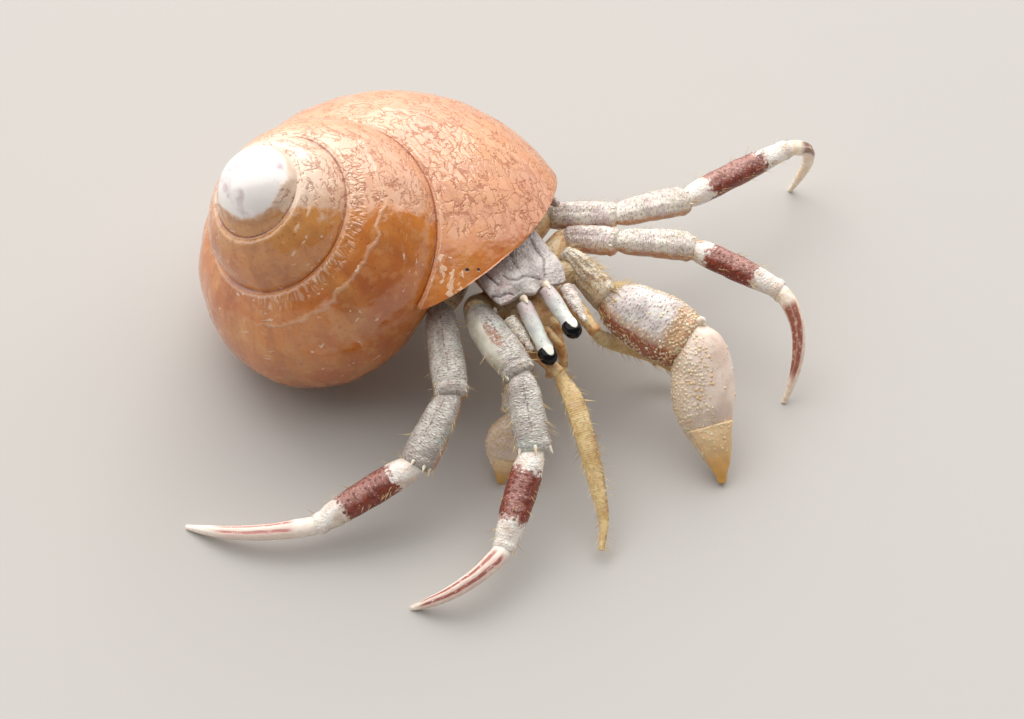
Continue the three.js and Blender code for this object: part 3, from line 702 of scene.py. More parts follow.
SOFT_LUMPS = {
    "claw_root_left": [(2.4, 0.6, 10.4, 2.4, 2.4), (4.6, -0.6, 10.7, 2.4, 2.6), (6.3, -1.4, 10.6, 2.2, 2.8)],
    "claw_root_right": [(-1.0, -1.4, 9.9, 2.2, 2.2), (-2.6, -2.4, 9.2, 1.9, 2.0), (-3.5, -3.2, 8.5, 1.6, 1.8)],
    "mouth_field": [(0.3, -2.4, 11.0, 3.6, 2.4), (0.4, -4.2, 10.6, 3.4, 2.6), (0.4, -5.6, 9.9, 2.4, 2.0)],
    "feeler_root_left": [(2.6, -2.2, 11.0, 1.8, 1.8), (3.8, -3.6, 10.7, 1.9, 1.9)],
    "feeler_root_right": [(-1.4, -2.4, 10.8, 1.8, 1.8), (-2.5, -4.2, 10.4, 1.9, 1.9)],
    "thorax": [
        (0.3, -3.1, 10.6, 3.4, 2.6), (0.3, -1.6, 10.8, 5.2, 3.6), (0.3, 1.5, 11.1, 5.8, 3.8),
        (0.3, 5.0, 11.4, 6.0, 4.0), (0.3, 8.0, 12.0, 5.8, 4.6)],
    "carapace_rear": [
        (0.1, 6.1, 14.8, 6.2, 1.6), (0.0, 8.0, 15.0, 7.0, 2.4), (-0.2, 10.4, 15.0, 6.6, 2.6)],
    "abdomen": [
        (0.2, 9.4, 12.0, 5.4, 4.4), (-0.3, 12.0, 12.4, 7.0, 6.2), (-1.2, 15.2, 12.8, 7.6, 7.0),
        (-4.4, 18.6, 12.6, 7.0, 6.8), (-8.8, 20.2, 11.6, 5.6, 5.6), (-12.8, 19.2, 10.6, 3.2, 3.4)],
}
LEG_GIRTH = {"leg2_left": 0.9, "leg3_left": 0.9, "leg2_right": 1.0, "leg3_right": 1.0}
LEG_JOINTS = {  # hip, root of the merus, then the far ends of merus, carpus, propodus and dactyl
    "leg2_left": [(3.7, 0.9, 10.2), (8.4, 3.5, 9.6), (11.5, -0.84, 11.3), (18.66, -3.66, 8.9),
                  (23.03, -12.76, 8.4), (19.43, -19.28, 0.1)],
    "leg3_left": [(3.9, 4.5, 10.6), (8.35, 6.8, 9.9), (13.39, 2.1, 11.2), (21.54, 1.61, 9.2),
                  (34.65, 1.71, 9.3), (37.31, 3.51, 0.1)],
    "leg2_right": [(-3.4, 0.3, 10.2), (-5.1, -1.6, 11.9), (-5.25, -9.5, 10.9), (-7.75, -15.7, 7.6),
                   (-14.73, -21.33, 3.6), (-24.16, -20.23, 0.1)],
    "leg3_right": [(-3.5, 3.9, 10.6), (-7.5, 1.3, 11.3), (-11.5, -7.34, 9.6), (-17.34, -10.37, 6.4),
                   (-27.49, -8.97, 2.7), (-37.18, -0.71, 0.1)],
}
LEG_BASE = ((0, 2.2, 2.4), (0.5, 2.9, 2.8), (1, 2.5, 2.6))
SKIN_VOXEL = 0.2
SKIN_RELAX = 6
SKIN_TONES = ((234, 214, 174), (206, 160, 108), (168, 112, 68))

soft_paint, start = new_material("soft_skin")
place = millimetres(start)
folds = (place * (0.8, 1.6, 2.2) + place.noise(0.6) * 2.0).noise(1.3, 4.0)
# the hollows of the folds are painted darker: painted shade
shade = coats(mottle(place, 0.35, 3.0, *SKIN_TONES[:2]), ((1 - folds.step(0.3, 0.5)) * 0.6, SKIN_TONES[2]))
finish_material(start, folds, 0.3, shade, 0.24, flesh=(0.25, 0.8), Subsurface_Radius=(1.0, 0.5, 0.25))

lumps = [plate_mesh(name, stations) for name, stations in SOFT_LUMPS.items()]
lumps += [plate_mesh(leg, between(ends[0], ends[1], LEG_BASE, LEG_GIRTH[leg]))
          for leg, ends in LEG_JOINTS.items()]
carrier = put("soft_lumps", joined("soft_lumps", lumps))
remesh = carrier.modifiers.new("one_skin", "REMESH")
remesh.mode = "VOXEL"
remesh.voxel_size = SKIN_VOXEL * MM
remesh.use_smooth_shade = True
relax = carrier.modifiers.new("relax", "SMOOTH")
relax.iterations = SKIN_RELAX
graph = bpy.context.evaluated_depsgraph_get()
skin_mesh = bpy.data.meshes.new_from_object(carrier.evaluated_get(graph), depsgraph=graph)
bpy.data.objects.remove(carrier)
seat("soft_body", skin_mesh, soft_paint, "soft_skin",
     "thorax", "carapace_rear", "abdomen", *(leg + "_base" for leg in LEG_JOINTS))

# ---------- carapace shield ----------
# The one hard plate over the head and chest is a low arch of lime and chitin, scored by grooves between its
# fields, with a scalloped front edge over the roots of the eyes. It lies on the soft body.
SHIELD_STATIONS = [(0.1, -3.5, 13.3, 7.6, 0.9), (0.15, -2.7, 13.6, 8.3, 1.5), (0.25, 0.4, 14.1, 8.5, 1.9),
                   (0.25, 3.2, 14.5, 8.2, 2.0), (0.25, 5.2, 14.8, 6.8, 1.6)]
SHIELD_UP = (0.16, 0, 1)
SHIELD_GROOVES = [  # lines across the plate from above, in millimetres
    [(-1.9, -1.4), (-1.61, -1.96), (-0.97, -2.37), (-0.09, -2.2), (0.58, -2.55), (1.25, -2.9)],
    [(1.9, -2.75), (2.48, -1.8), (2.94, -0.95), (2.8, 0.2), (3.1, 1.4)],
    [(-3.9, -2.6), (-3.3, -3.05), (-2.4, -3.1), (-1.9, -3.35)],
    [(-2.9, -2.0), (-3.2, -0.6), (-3.05, 0.8), (-3.3, 2.2)],
    [(-0.2, -1.2), (0.1, 0.4), (0.0, 1.8)],
]
GROOVE_DEPTH = 0.13
GROOVE_HALF = 0.17
SHIELD_SCALLOPS = [(-1.25, 0.75, 0.45), (1.37, 0.75, 0.42), (0.1, 0.4, -0.3), (-3.1, 0.5, -0.2), (3.0, 0.5, -0.2)]
SHIELD_FRONT = -2.6


def line_distance(x, y, line):
    """How far points lie from a line of places, seen from above."""
    best = np.full(x.shape, 1e9)
    for (ax, ay), (bx, by) in zip(line, line[1:]):
        along_part = np.clip(((x - ax) * (bx - ax) + (y - ay) * (by - ay)) / ((bx - ax) ** 2 + (by - ay) ** 2), 0, 1)
        best = np.minimum(best, np.hypot(x - ax - along_part * (bx - ax), y - ay - along_part * (by - ay)))
    return best


def shield_form(points):
    """Cuts the grooves and scallops of the plate."""
    x, y, z = points.T
    forward = np.clip((SHIELD_FRONT - y) / 1.3, 0, 1)
    for middle, half, deep in SHIELD_SCALLOPS:
        y = y + deep * forward * bump_of(x, middle, half)
    for line in SHIELD_GROOVES:
        z = z - GROOVE_DEPTH * bump_of(line_distance(x, y, line), 0, GROOVE_HALF)
    rolled = bump_of(y, SHIELD_FRONT - 1.15, 0.3) * 0.12
    uneven = 0.05 * np.sin(x * 2.1 + np.sin(y * 1.7) * 1.5) * np.sin(y * 2.6 + x)
    return np.stack([x, y, z + rolled + uneven], axis=1)


shield_paint, start = new_material("shield")
place = millimetres(start)
fine = place.noise(3.2, 3.0)
grit = place.cells(3.4)
flank = abs(place.axis("X") + 3.9).step(2.2, 0.3)
shade = coats(
    mottle(place, 0.7, 4.0, (224, 216, 210), (184, 173, 170), edge=(0.3, 0.7)),
    (fine.step(0.55, 0.72) * 0.45, (112, 92, 100)),
    (fine.step(0.46, 0.3) * 0.4, (240, 232, 230)),
    (flank * place.noise(0.6).step(0.4, 0.6) * 0.5, (150, 84, 78)),
    ((1 - place.cells(2.1).step(0.09, 0.15)) * 0.7, (70, 52, 58)),
    # the grooves painted dark: painted shade in them
    (start.add("ShaderNodeAttribute", {"attribute_name": "groove"}, output="Fac") * 0.85, (82, 56, 60)),
    ((1 - grit.step(0.08, 0.26)) * 0.5, (246, 240, 236)))
finish_material(start, place.noise(1.6, 3.0) * 0.09 + fine * 0.08 - grit * 0.07, 1.0, shade, 0.24, 1.65)
shield_mesh = plate_mesh("shield_plate", SHIELD_STATIONS, SHIELD_UP, square=0.8, grain=0.09, warp=shield_form)
spots = np.empty(len(shield_mesh.vertices) * 3, np.float32)
shield_mesh.vertices.foreach_get("co", spots)
x, y, _ = (spots.reshape(-1, 3) / MM + np.array(ORIGIN)).T
grooved = np.max([bump_of(line_distance(x, y, line), 0, 0.11) for line in SHIELD_GROOVES], axis=0)
write(shield_mesh.attributes.new("groove", "FLOAT", "POINT"), "value", grooved)
seat("shield_plate", shield_mesh, shield_paint, "shield", "shield")

# ---------- walking legs ----------
# Two pairs of long legs, each of merus, carpus, propodus and a curved pointed dactyl: thin plates of chitin
# and lime with short wrinkles across them, a red band round the propodus and stripes down the dactyl.
LEG_SHAPES = {
    "merus": [(0, 2.3, 2.2), (0.12, 2.9, 2.7), (0.5, 3.3, 2.9), (0.88, 3.4, 2.9), (1, 3.1, 2.6)],
    "carpus": [(0, 1.9, 1.8), (0.14, 2.8, 2.4), (0.5, 3.3, 2.7), (0.9, 3.5, 2.8), (1, 3.2, 2.5)],
    "propodus": [(0, 2.0, 1.8), (0.12, 2.7, 2.4), (0.45, 3.0, 2.6), (0.85, 2.5, 2.2), (1, 2.1, 1.8)],
    "dactyl": [(0, 1.6, 1.5), (0.1, 1.85, 1.7), (0.35, 1.6, 1.55), (0.65, 1.3, 1.3), (0.88, 0.85, 0.9),
               (1, 0.5, 0.55)],
}
DACTYL_BOW = {"leg2_left": (1.3, -0.9, 1.0), "leg3_left": (2.0, -0.6, 1.6),
              "leg2_right": (-0.3, -1.4, 0.8), "leg3_right": (-0.7, -0.9, 0.5)}
PLATE_BOW = (0, 0, 0.15)
# The right legs' tones are darker than the left legs': painted shade, as the right side faces away from the lamp and
# the bright sky.
PLATE_TONES = {
    "left": ((240, 232, 220), (212, 194, 190), (234, 228, 210)),
    "right": ((214, 209, 200), (176, 167, 160), (190, 202, 194)),
    "claw": ((240, 232, 212), (206, 184, 154), (220, 218, 200)),
}
SPECK = (108, 88, 82)
SMOOTH_FLANK = (0.08, 0.42, 0.8)  # from and to round the plate, and its end along it
# The band's first colour, on its top, is paler and mauve: painted reflection of the sky; the second is its deep red
# below and the third its darker specks
BAND_SHEEN_AND_REDS = ((174, 124, 114), (138, 62, 44), (92, 40, 30))
BAND_CREAM = ((250, 244, 236), (228, 208, 192))
LEG_WARM_EDGE = {"left": 0.2, "right": 0.8, "claw": 0.8}  # where round the plate its orange edge runs


def new_plate_paint(name):
    """A material with the share along a plate, the share round it, its map in millimetres and the place."""
    material, start = new_material(name)
    shares = start.add("ShaderNodeUVMap", {"uv_map": "Plate"})
    grain = start.add("ShaderNodeUVMap", {"uv_map": "Grain"})
    return material, start, shares.axis("X"), shares.axis("Y"), grain, millimetres(start)


def wrinkle_cells(grain, place, per_along, per_round, straying):
    """Cells lying across a plate: the place in each cell, its centre's distance and its own random shade."""
    laid = grain * (per_along, per_round, 1) + place.noise(1.6, 2.0) * straying
    cell = laid.cells(1.0)
    return laid - cell.sibling("Position"), cell, cell.sibling("Color").axis("X")


def paint_leg(side, smooth_flank=False):
    """Granular plate; a smooth flank is bare and milky with a rusty patch along its upper edge."""
    material, start, along, around, grain, place = new_plate_paint(
        "leg_plate_" + side + ("_smooth" if smooth_flank else ""))
    light, dusk, cool = PLATE_TONES[side]
    within, reach, luck = wrinkle_cells(grain, place, 3.9, 2.3, 1.1)
    crumbs = place.noise(3.4, 4.0, 0.65)
    dash = ((1 - abs(within.axis("X") + (crumbs - 0.5) * 0.5 - 0.18).step(0.04, 0.22))
            * (1 - abs(within.axis("Y")).step(0.12, 0.4)) * (luck + crumbs - 0.5).step(0.3, 0.6))
    rusty = ridge(around, LEG_WARM_EDGE[side], 0.13).step(0.1, 0.7) * place.noise(1.4, 2.0).step(0.25, 0.55)
    score = ridge(around + (place.noise(1.1, 3.0) - 0.5) * 0.05, 0.49, 0.014).step(0.1, 0.8) * along.step(0.1, 0.2)
    score = score * crumbs.step(0.42, 0.5) * (1 - along.step(0.7, 0.85))
    shade = coats(
        mottle(place, 0.5, 3.0, light, dusk),
        (place.noise(0.3, 2.0).step(0.52, 0.68) * 0.6, cool),
        (crumbs.step(0.48, 0.64) * 0.5, (158, 138, 130)),
        ((1 - crumbs.step(0.3, 0.42)) * 0.5, (252, 248, 240)),
        # near-white on the tops of some granules: painted highlights
        (luck.step(0.5, 0.9) * (1 - reach.step(0.1, 0.4)) * 0.6, (252, 248, 242)),
        (dash * 0.62, SPECK),
        (rusty * 0.85, (204, 118, 48)),
        (score * (0.6 if side == "right" else 0.25), SPECK),
        (abs(around - 0.5).step(0.19, 0.32) * 0.4, (212, 174, 130)))
    height = (1 - reach.step(0.05, 0.6)) * 0.06 - within.axis("X") * 0.05 * luck - dash * 0.04 + crumbs * 0.08
    if smooth_flank:
        low, high, end_share = SMOOTH_FLANK
        wave = (place.noise(0.9, 3.0) - 0.5) * 0.1
        bare = ((around + wave).step(low, low + 0.06) * (1 - along.step(end_share, end_share + 0.12))
                * (1 - (around + along * 0.06 + wave).step(high, high + 0.03)))
        patch = (ridge(around + wave, high + 0.02, 0.06).step(0.1, 0.6)
                 * along.step(0.25, 0.35) * (1 - along.step(0.6, 0.72)))
        shade = coats(shade, (bare, mottle(place, 0.5, 2.0, (208, 204, 190), (178, 170, 152))),
                      (patch * crumbs.step(0.38, 0.52) * 0.7, (172, 104, 66)))
        height = height * (1 - bare * 0.9)
    finish_material(start, height, 1.0, shade, 0.24, 1.6, flesh=(0.12, 0.6))
    return material


def paint_band():
    material, start, along, around, grain, place = new_plate_paint("banded_plate")
    within, reach, luck = wrinkle_cells(grain, place, 4.2, 3.2, 0.8)
    edge = along + (place.noise(1.3, 3.0) - 0.5) * 0.14 + (luck - 0.5) * 0.07
    underside = abs(around - 0.5).step(0.02, 0.24)
    # pale mauve on top, deep red underneath: the top's colour is painted reflection of the sky
    red = coats(
        (underside * 0.8 + (place.noise(1.6, 4.0) - 0.5) * 1.2).step(0.0, 0.5).blend(*(tone(*c) for c in BAND_SHEEN_AND_REDS[:2])),
        # near-white on the tops of some granules: painted glints
        (luck.step(0.4, 0.55) * (1 - reach.step(0.08, 0.3)) * 0.7, (240, 208, 192)),
        (luck.step(0.45, 0.25) * 0.6, BAND_SHEEN_AND_REDS[2]))
    shade = coats(mottle(place, 0.7, 3.0, *BAND_CREAM, edge=(0.4, 0.7)),
                  (edge.step(0.2, 0.25) * (1 - edge.step(0.7, 0.78)), red))
    height = (1 - reach.step(0.05, 0.6)) * 0.05 - within.axis("X") * 0.03 + place.noise(2.6, 2.0) * 0.04
    finish_material(start, height, 1.0, shade, 0.26, 1.55, flesh=(0.12, 0.6))
    return material


def paint_dactyl(name, lines, width, start_share, end_share, ink, ground):
    """Stripes at these shares round the plate, from one share of its length to another."""
    material, start, along, around, grain, place = new_plate_paint("dactyl_" + name)
    wander = (place.noise(0.8, 3.0) - 0.5) * 0.05
    stripes = along * 0
    for line in lines:
        stripes = stripes.at_least(ridge(around + wander, line, width).step(0.15, 0.7))
    fade = along.step(start_share, start_share + 0.08) * (1 - along.step(end_share - 0.14, end_share))
    spots = place.noise(2.2, 3.0)
    stripes = stripes * fade * spots.step(0.22, 0.5)
    shade = coats(mottle(place, 2.2, 3.0, ground, (250, 240, 226)), (fade * 0.3, (226, 184, 170)), (stripes * 0.9, ink))
    height = place.noise(1.6, 2.0) * 0.05 - stripes * 0.03 + grain.noise(6.0) * 0.012
    finish_material(start, height, 1.0, shade, 0.24, flesh=(0.2, 0.6))
    return material


leg_paints = {side: paint_leg(side) for side in PLATE_TONES}
smooth_paint = paint_leg("right", smooth_flank=True)
band_paint = paint_band()
DACTYL_PAINTS = {leg: paint_dactyl(*look) for leg, look in {
    "leg2_left": ("broad_stripe", (0.36, 0.5), 0.13, 0.1, 0.84, (146, 66, 44), (236, 212, 186)),
    "leg3_left": ("brown_mark", (0.3, 0.45), 0.12, 0.1, 0.5, (112, 62, 42), (240, 214, 176)),
    "leg2_right": ("two_stripes", (0.32, 0.47, 0.62), 0.06, 0.05, 0.97, (150, 66, 54), (240, 216, 204)),
    "leg3_right": ("pink_lines", (0.36, 0.45, 0.6), 0.05, 0.14, 0.8, (196, 120, 116), (246, 232, 220)),
}.items()}


def merus_relief(t, v):
    """A keel along the top, a turned-out far rim and folds at the root."""
    keel = 0.12 * bump_of(v, 0.52, 0.05) * np.sin(math.pi * t)
    groove = -0.07 * bump_of(v, 0.43, 0.025) * np.sin(math.pi * t)
    rim = 0.1 * bump_of(t, 0.96, 0.03) - 0.08 * bump_of(t, 0.9, 0.02)
    wrinkles = 0.03 * np.sin(t * 60 + np.sin(v * 12) * 2) * bump_of(t, 0.06, 0.12)
    return keel + groove + rim + wrinkles + uneven_skin(t, v)


def wide_merus_relief(t, v):
    """The first right leg's merus bulges on its bare outer flank."""
    return merus_relief(t, v) + 0.42 * bump_of(v, 0.27, 0.13) * np.sin(math.pi * np.clip(t * 0.9 + 0.1, 0, 1))


def carpus_relief(t, v):
    """Two low ridges with a trough between them and a raised far rim."""
    ridges = 0.1 * (bump_of(v, 0.4, 0.04) + bump_of(v, 0.62, 0.045)) * np.sin(math.pi * t) ** 0.5
    rim = 0.1 * bump_of(t, 0.95, 0.04)
    return ridges + rim + uneven_skin(t, v)


def propodus_relief(t, v):
    rim = 0.07 * bump_of(t, 0.97, 0.03) - 0.05 * bump_of(t, 0.92, 0.03)
    return rim + 0.07 * bump_of(v, 0.52, 0.06) * np.sin(math.pi * t) + uneven_skin(t, v)


def dactyl_relief(t, v):
    groove = -0.05 * (bump_of(v, 0.42, 0.03) + bump_of(v, 0.58, 0.03)) * np.sin(math.pi * t)
    return groove + 0.05 * bump_of(t, 0.04, 0.03) + 0.3 * uneven_skin(t, v)


def uneven_skin(t, v):
    """Slight waves, the same all along and closing round the plate."""
    turn = 2 * math.pi * v
    return 0.03 * (np.sin(t * 23 + 2 * np.sin(turn)) * np.cos(turn * 3 + t * 7) + np.sin(t * 11 - 1) * np.cos(turn * 2))


def edge_hair(t, v):
    """Bristles stand along the upper and lower margins of a leg plate."""
    margins = bump_of(v, 0.3, 0.035) + bump_of(v, 0.7, 0.035) + 0.4 * bump_of(v, 0.5, 0.03)
    return margins * (t > 0.05) * (0.5 + t)


LEG_RELIEF = {"merus": merus_relief, "carpus": carpus_relief, "propodus": propodus_relief,
              "dactyl": dactyl_relief}
hairy = []  # meshes that bristles are grown on
for leg, ends in LEG_JOINTS.items():
    side = leg.split("_")[1]
    looks = {"merus": (leg_paints[side], "leg_plate"), "carpus": (leg_paints[side], "leg_plate"),
             "propodus": (band_paint, "banded_plate"), "dactyl": (DACTYL_PAINTS[leg], "dactyl")}
    for segment, (name, shape) in enumerate(LEG_SHAPES.items()):
        bow = DACTYL_BOW[leg] if name == "dactyl" else PLATE_BOW
        stations = between(ends[segment + 1], ends[segment + 2], shape, LEG_GIRTH[leg], bow)
        node = leg + "_" + name
        relief = LEG_RELIEF[name]
        if node == "leg2_right_merus":
            relief = wide_merus_relief
            looks[name] = (smooth_paint, "leg_plate")
        mesh = plate_mesh(node, stations, relief=relief, marks={"hair": edge_hair})
        if name != "dactyl":
            hairy.append(mesh)
        seat(node + "_plate", mesh, *looks[name], node)

# ---------- claws ----------
# Two chelipeds, the left far larger. Carpus and chela are thick lime plates studded with pearly granules; the
# two fingers close edge to edge, ochre at their tips.
CLAW_UP = (-0.35, -0.54, 0.77)
CLAWS = {
    "left": {
        "merus": [(6.2, 0.1, 11.9, 1.6, 2.0), (6.8, -1.4, 11.2, 2.2, 3.2), (7.1, -3.4, 10.4, 2.5, 4.0),
                  (7.3, -5.4, 10.0, 2.5, 4.2)],
        "carpus": [(7.4, -5.9, 10.1, 3.2, 2.6), (7.9, -7.1, 10.0, 4.9, 3.8), (9.2, -9.7, 9.6, 6.1, 4.4),
                   (10.5, -12.1, 9.1, 6.4, 4.4), (11.0, -13.4, 8.8, 5.5, 3.8)],
        "palm": [(12.1, -13.1, 9.5, 2.6, 2.6), (12.0, -14.4, 8.9, 4.6, 3.8), (10.9, -16.8, 6.9, 6.1, 4.4),
                 (9.9, -18.6, 5.3, 5.9, 4.0), (9.5, -20.2, 3.6, 4.6, 2.6), (9.1, -22.0, 1.7, 2.6, 1.5),
                 (8.9, -23.3, 0.3, 0.9, 0.8)],
        "finger": [(9.3, -20.6, 4.6, 4.3, 1.4), (9.1, -21.5, 3.7, 3.6, 1.5), (8.8, -22.9, 2.1, 2.2, 1.2),
                   (8.4, -24.1, 0.4, 0.8, 0.8)],
    },
    "right": {
        "merus": [(-3.6, -2.6, 8.6, 1.5, 1.8), (-3.5, -4.6, 8.2, 1.9, 2.2), (-3.5, -6.3, 7.5, 1.8, 2.2)],
        "carpus": [(-3.7, -6.9, 7.1, 1.8, 1.7), (-4.2, -7.8, 6.9, 2.6, 2.3), (-5.3, -9.1, 6.3, 3.0, 2.6),
                   (-5.9, -9.8, 5.9, 2.7, 2.3)],
        "palm": [(-6.3, -10.2, 5.5, 2.2, 1.9), (-6.9, -10.6, 4.8, 3.6, 2.6), (-7.8, -11.1, 3.4, 4.1, 2.7),
                 (-8.5, -11.5, 2.0, 3.0, 1.7), (-9.0, -11.7, 0.4, 0.9, 0.8)],
        "finger": [(-8.6, -12.1, 2.6, 2.6, 1.0), (-9.0, -12.3, 1.7, 1.9, 1.0), (-9.4, -12.5, 0.4, 0.8, 0.7)],
    },
}


def paint_claw_carpus():
    material, start, along, around, grain, place = new_plate_paint("claw_carpus")
    within, reach, luck = wrinkle_cells(grain, place, 3.0, 2.2, 0.9)
    wander = (place.noise(0.7, 3.0) - 0.5) * 0.1
    inner = 1 - (around + wander * 0.4).step(0.385, 0.425)
    margin = (along + wander * 2 - around * 0.12).step(0.62, 0.84)
    margin = margin.at_least((around + wander).step(0.66, 0.74) * 0.6)
    margin = margin.at_least(ridge(around + wander * 0.4, 0.42, 0.05) * 0.7)
    crumbs = place.noise(3.0, 4.0, 0.65)
    dash = (luck.step(0.4, 0.6) * (1 - abs(within.axis("X") - 0.1).step(0.08, 0.22))
            * (1 - abs(within.axis("Y")).step(0.1, 0.36)))
    shade = coats(
        mottle(place, 0.6, 3.0, (230, 224, 218), (200, 188, 184)),
        (crumbs.step(0.5, 0.64) * 0.5, (148, 132, 130)),
        (dash * 0.7, (104, 90, 96)),
        (margin * 0.85, (1 - reach.step(0.1, 0.5)).blend(tone(202, 150, 106), tone(246, 226, 188))),
        (inner * 0.9, (1 - reach.step(0.12, 0.45)).blend(tone(160, 80, 44), tone(224, 168, 126))))
    height = (1 - reach.step(0.0, 0.6)) * (inner * 0.09 + margin * 0.07 + 0.04) + crumbs * 0.08
    finish_material(start, height, 1.0, shade, 0.26, 1.55, flesh=(0.12, 0.6))
    return material


def paint_chela():
    material, start, along, around, grain, place = new_plate_paint("chela")
    reach = grain.cells(2.3)
    studded = 1 - (around + (place.noise(0.6) - 0.5) * 0.1).step(0.46, 0.6)
    shade = coats(
        mottle(place, 0.4, 3.0, (238, 219, 205), (218, 194, 178)),
        ((1 - around.step(0.3, 0.5)) * 0.35, (222, 186, 136)),
        ((1 - reach.step(0.08, 0.3)) * studded * 0.7, (250, 240, 216)),
        (along.step(0.6, 1.0) * 0.6, (226, 186, 130)),
        (place.noise(3.0, 3.0).step(0.55, 0.7) * (1 - along.step(0.25, 0.5)) * 0.35, (150, 128, 132)),
        (around.step(0.74, 0.8) * (1 - around.step(0.84, 0.9)) * 0.5, (250, 232, 206)))
    height = (1 - reach.step(0.0, 0.55)) * studded * 0.07 + place.noise(1.2, 3.0) * 0.05
    finish_material(start, height, 1.0, shade, 0.22, 1.55, flesh=(0.3, 1.0), Subsurface_Radius=(1.0, 0.6, 0.35))
    return material


def paint_finger():
    material, start, along, around, grain, place = new_plate_paint("claw_finger")
    reach = grain.cells(2.6)
    onward = along + (place.noise(0.9, 2.0) - 0.5) * 0.3
    shade = coats(onward.step(0.1, 0.9).blend(tone(226, 194, 152), tone(212, 160, 82)),
                  ((1 - reach.step(0.08, 0.3)) * (1 - along.step(0.4, 0.7)) * 0.5, (246, 226, 190)))
    height = (1 - reach.step(0.0, 0.5)) * 0.04 * (1 - along) + place.noise(1.8, 3.0) * 0.06
    finish_material(start, height, 1.0, shade, 0.24, 1.55, flesh=(0.25, 0.8))
    return material


def claw_relief(t, v):
    return 1.6 * uneven_skin(t, v) + 0.08 * bump_of(t, 0.97, 0.03)


def merus_folds(t, v):
    """Lengthwise striae of the flat, wedge-shaped merus."""
    return 0.07 * np.sin(v * 75 + 2 * np.sin(t * 5)) * np.sin(math.pi * t) ** 0.5 + uneven_skin(t, v)


CLAW_MARKS = {
    "carpus": {"beads": lambda t, v: np.where((t > 0.78) | (v < 0.34) | (v > 0.68), 1.0, 0.12),
               "hair": lambda t, v: 9.0 * bump_of(t, 0.02, 0.07) * (v > 0.2) + 0.5 * bump_of(v, 0.36, 0.04)},
    "palm": {"beads": lambda t, v: np.where((v > 0.14) & (v < 0.54) & (t < 0.78), 1.0, 0.05) * (t > 0.06)},
    "merus": {"hair": lambda t, v: 2.2 * (0.4 + t) * (v > 0.3) * (v < 0.95)},
    "finger": {"beads": lambda t, v: 0.4 * (t < 0.5)},
}
CLAW_LOOKS = {
    "merus": (leg_paints["claw"], "leg_plate", merus_folds),
    "carpus": (paint_claw_carpus(), "leg_plate", claw_relief),
    "palm": (paint_chela(), "chela", uneven_skin),
    "finger": (paint_finger(), "finger", uneven_skin),
}
beaded = []  # meshes that granules are set on
for side, plates in CLAWS.items():
    for name, stations in plates.items():
        paint, slot, relief = CLAW_LOOKS[name]
        up = UP if name == "merus" else CLAW_UP
        node = "claw_" + side + "_" + name
        if node == "claw_right_carpus":
            paint = leg_paints["claw"]
        mesh = plate_mesh(node, stations, up, relief=relief, marks=CLAW_MARKS[name])
        if "hair" in CLAW_MARKS[name]:
            hairy.append(mesh)
        if "beads" in CLAW_MARKS[name]:
            beaded.append(mesh)
        seat(node + "_plate", mesh, paint, slot, node)

# ---------- eyes ----------
# Each eye is a black, wet, domed cornea capping the end of a long hard stalk, with a pale tongue of the stalk
# running out over its top. The stalks hinge side by side under the front edge of the shield.
EYES = {
    "left": ((1.37, -4.0, 13.35), (0.95, -8.75, 12.95)),
    "right": ((-1.25, -4.0, 12.95), (-2.05, -9.2, 11.55)),
}
STALK_SHAPE = [(0, 1.5, 1.4), (0.25, 1.65, 1.6), (0.75, 1.45, 1.45), (1, 1.65, 1.6)]
CORNEA_SHAPE = [(0, 1.5, 1.45), (0.1, 1.7, 1.66), (0.42, 1.76, 1.72), (0.62, 1.69, 1.65), (0.78, 1.47, 1.43),
                (0.9, 1.12, 1.1), (0.97, 0.78, 0.76), (1, 0.56, 0.55)]
CORNEA_SPAN = (-0.45, 1.25)  # millimetres past the end of the stalk: the cornea sits over it like a cap

stalk_paint, start, along, around, grain, place = new_plate_paint("eyestalk")
dots = place.cells(3.2)
shade = coats(
    mottle(place, 0.6, 3.0, (214, 220, 212), (192, 192, 190)),
    ((1 - (along + (place.noise(1.2, 2.0) - 0.5) * 0.3).step(0.1, 0.5)) * 0.7, (188, 162, 164)),
    ((1 - dots.step(0.16, 0.24)) * dots.sibling("Color").axis("X").step(0.5, 0.6) * 0.8, (56, 48, 54)),
    (along.step(0.86, 0.97) * ridge(around, 0.52, 0.14) * 0.7, (240, 236, 220)))
finish_material(start, place.noise(2.4, 3.0), 0.06, shade, 0.2, 1.6, flesh=(0.1, 0.5))

cornea_paint, start, along, around, grain, place = new_plate_paint("cornea")
aside = (around - 0.52) * 10 + (place.noise(1.5, 2.0) - 0.5) * 0.5
onward = along * 1.35
tongue = 1 - (aside * aside + onward * onward).sqrt().step(0.86, 1.0)
shade = tongue.blend(tone(12, 11, 13), tone(236, 234, 220))
facets = place.cells(14.0) * 0.004 * (1 - tongue)
finish_material(start, facets + place.noise(2.0) * 0.01, 1.0, shade, 0.04, Specular_IOR_Level=0.3)
for side, (root_point, tip_point) in EYES.items():
    node = "eyestalk_" + side
    seat(node + "_plate", plate_mesh(node, between(root_point, tip_point, STALK_SHAPE), grain=0.08,
                                     relief=lambda t, v: 0.5 * uneven_skin(t, v)),
         stalk_paint, "eyestalk", node)
    line = (Vector(tip_point) - Vector(root_point)).normalized()
    cap = between(*(Vector(tip_point) + line * past for past in CORNEA_SPAN), CORNEA_SHAPE)
    seat("cornea_" + side, plate_mesh("cornea_" + side, cap, ends=0.2, grain=0.06), cornea_paint, "cornea",
         "eye_" + side)

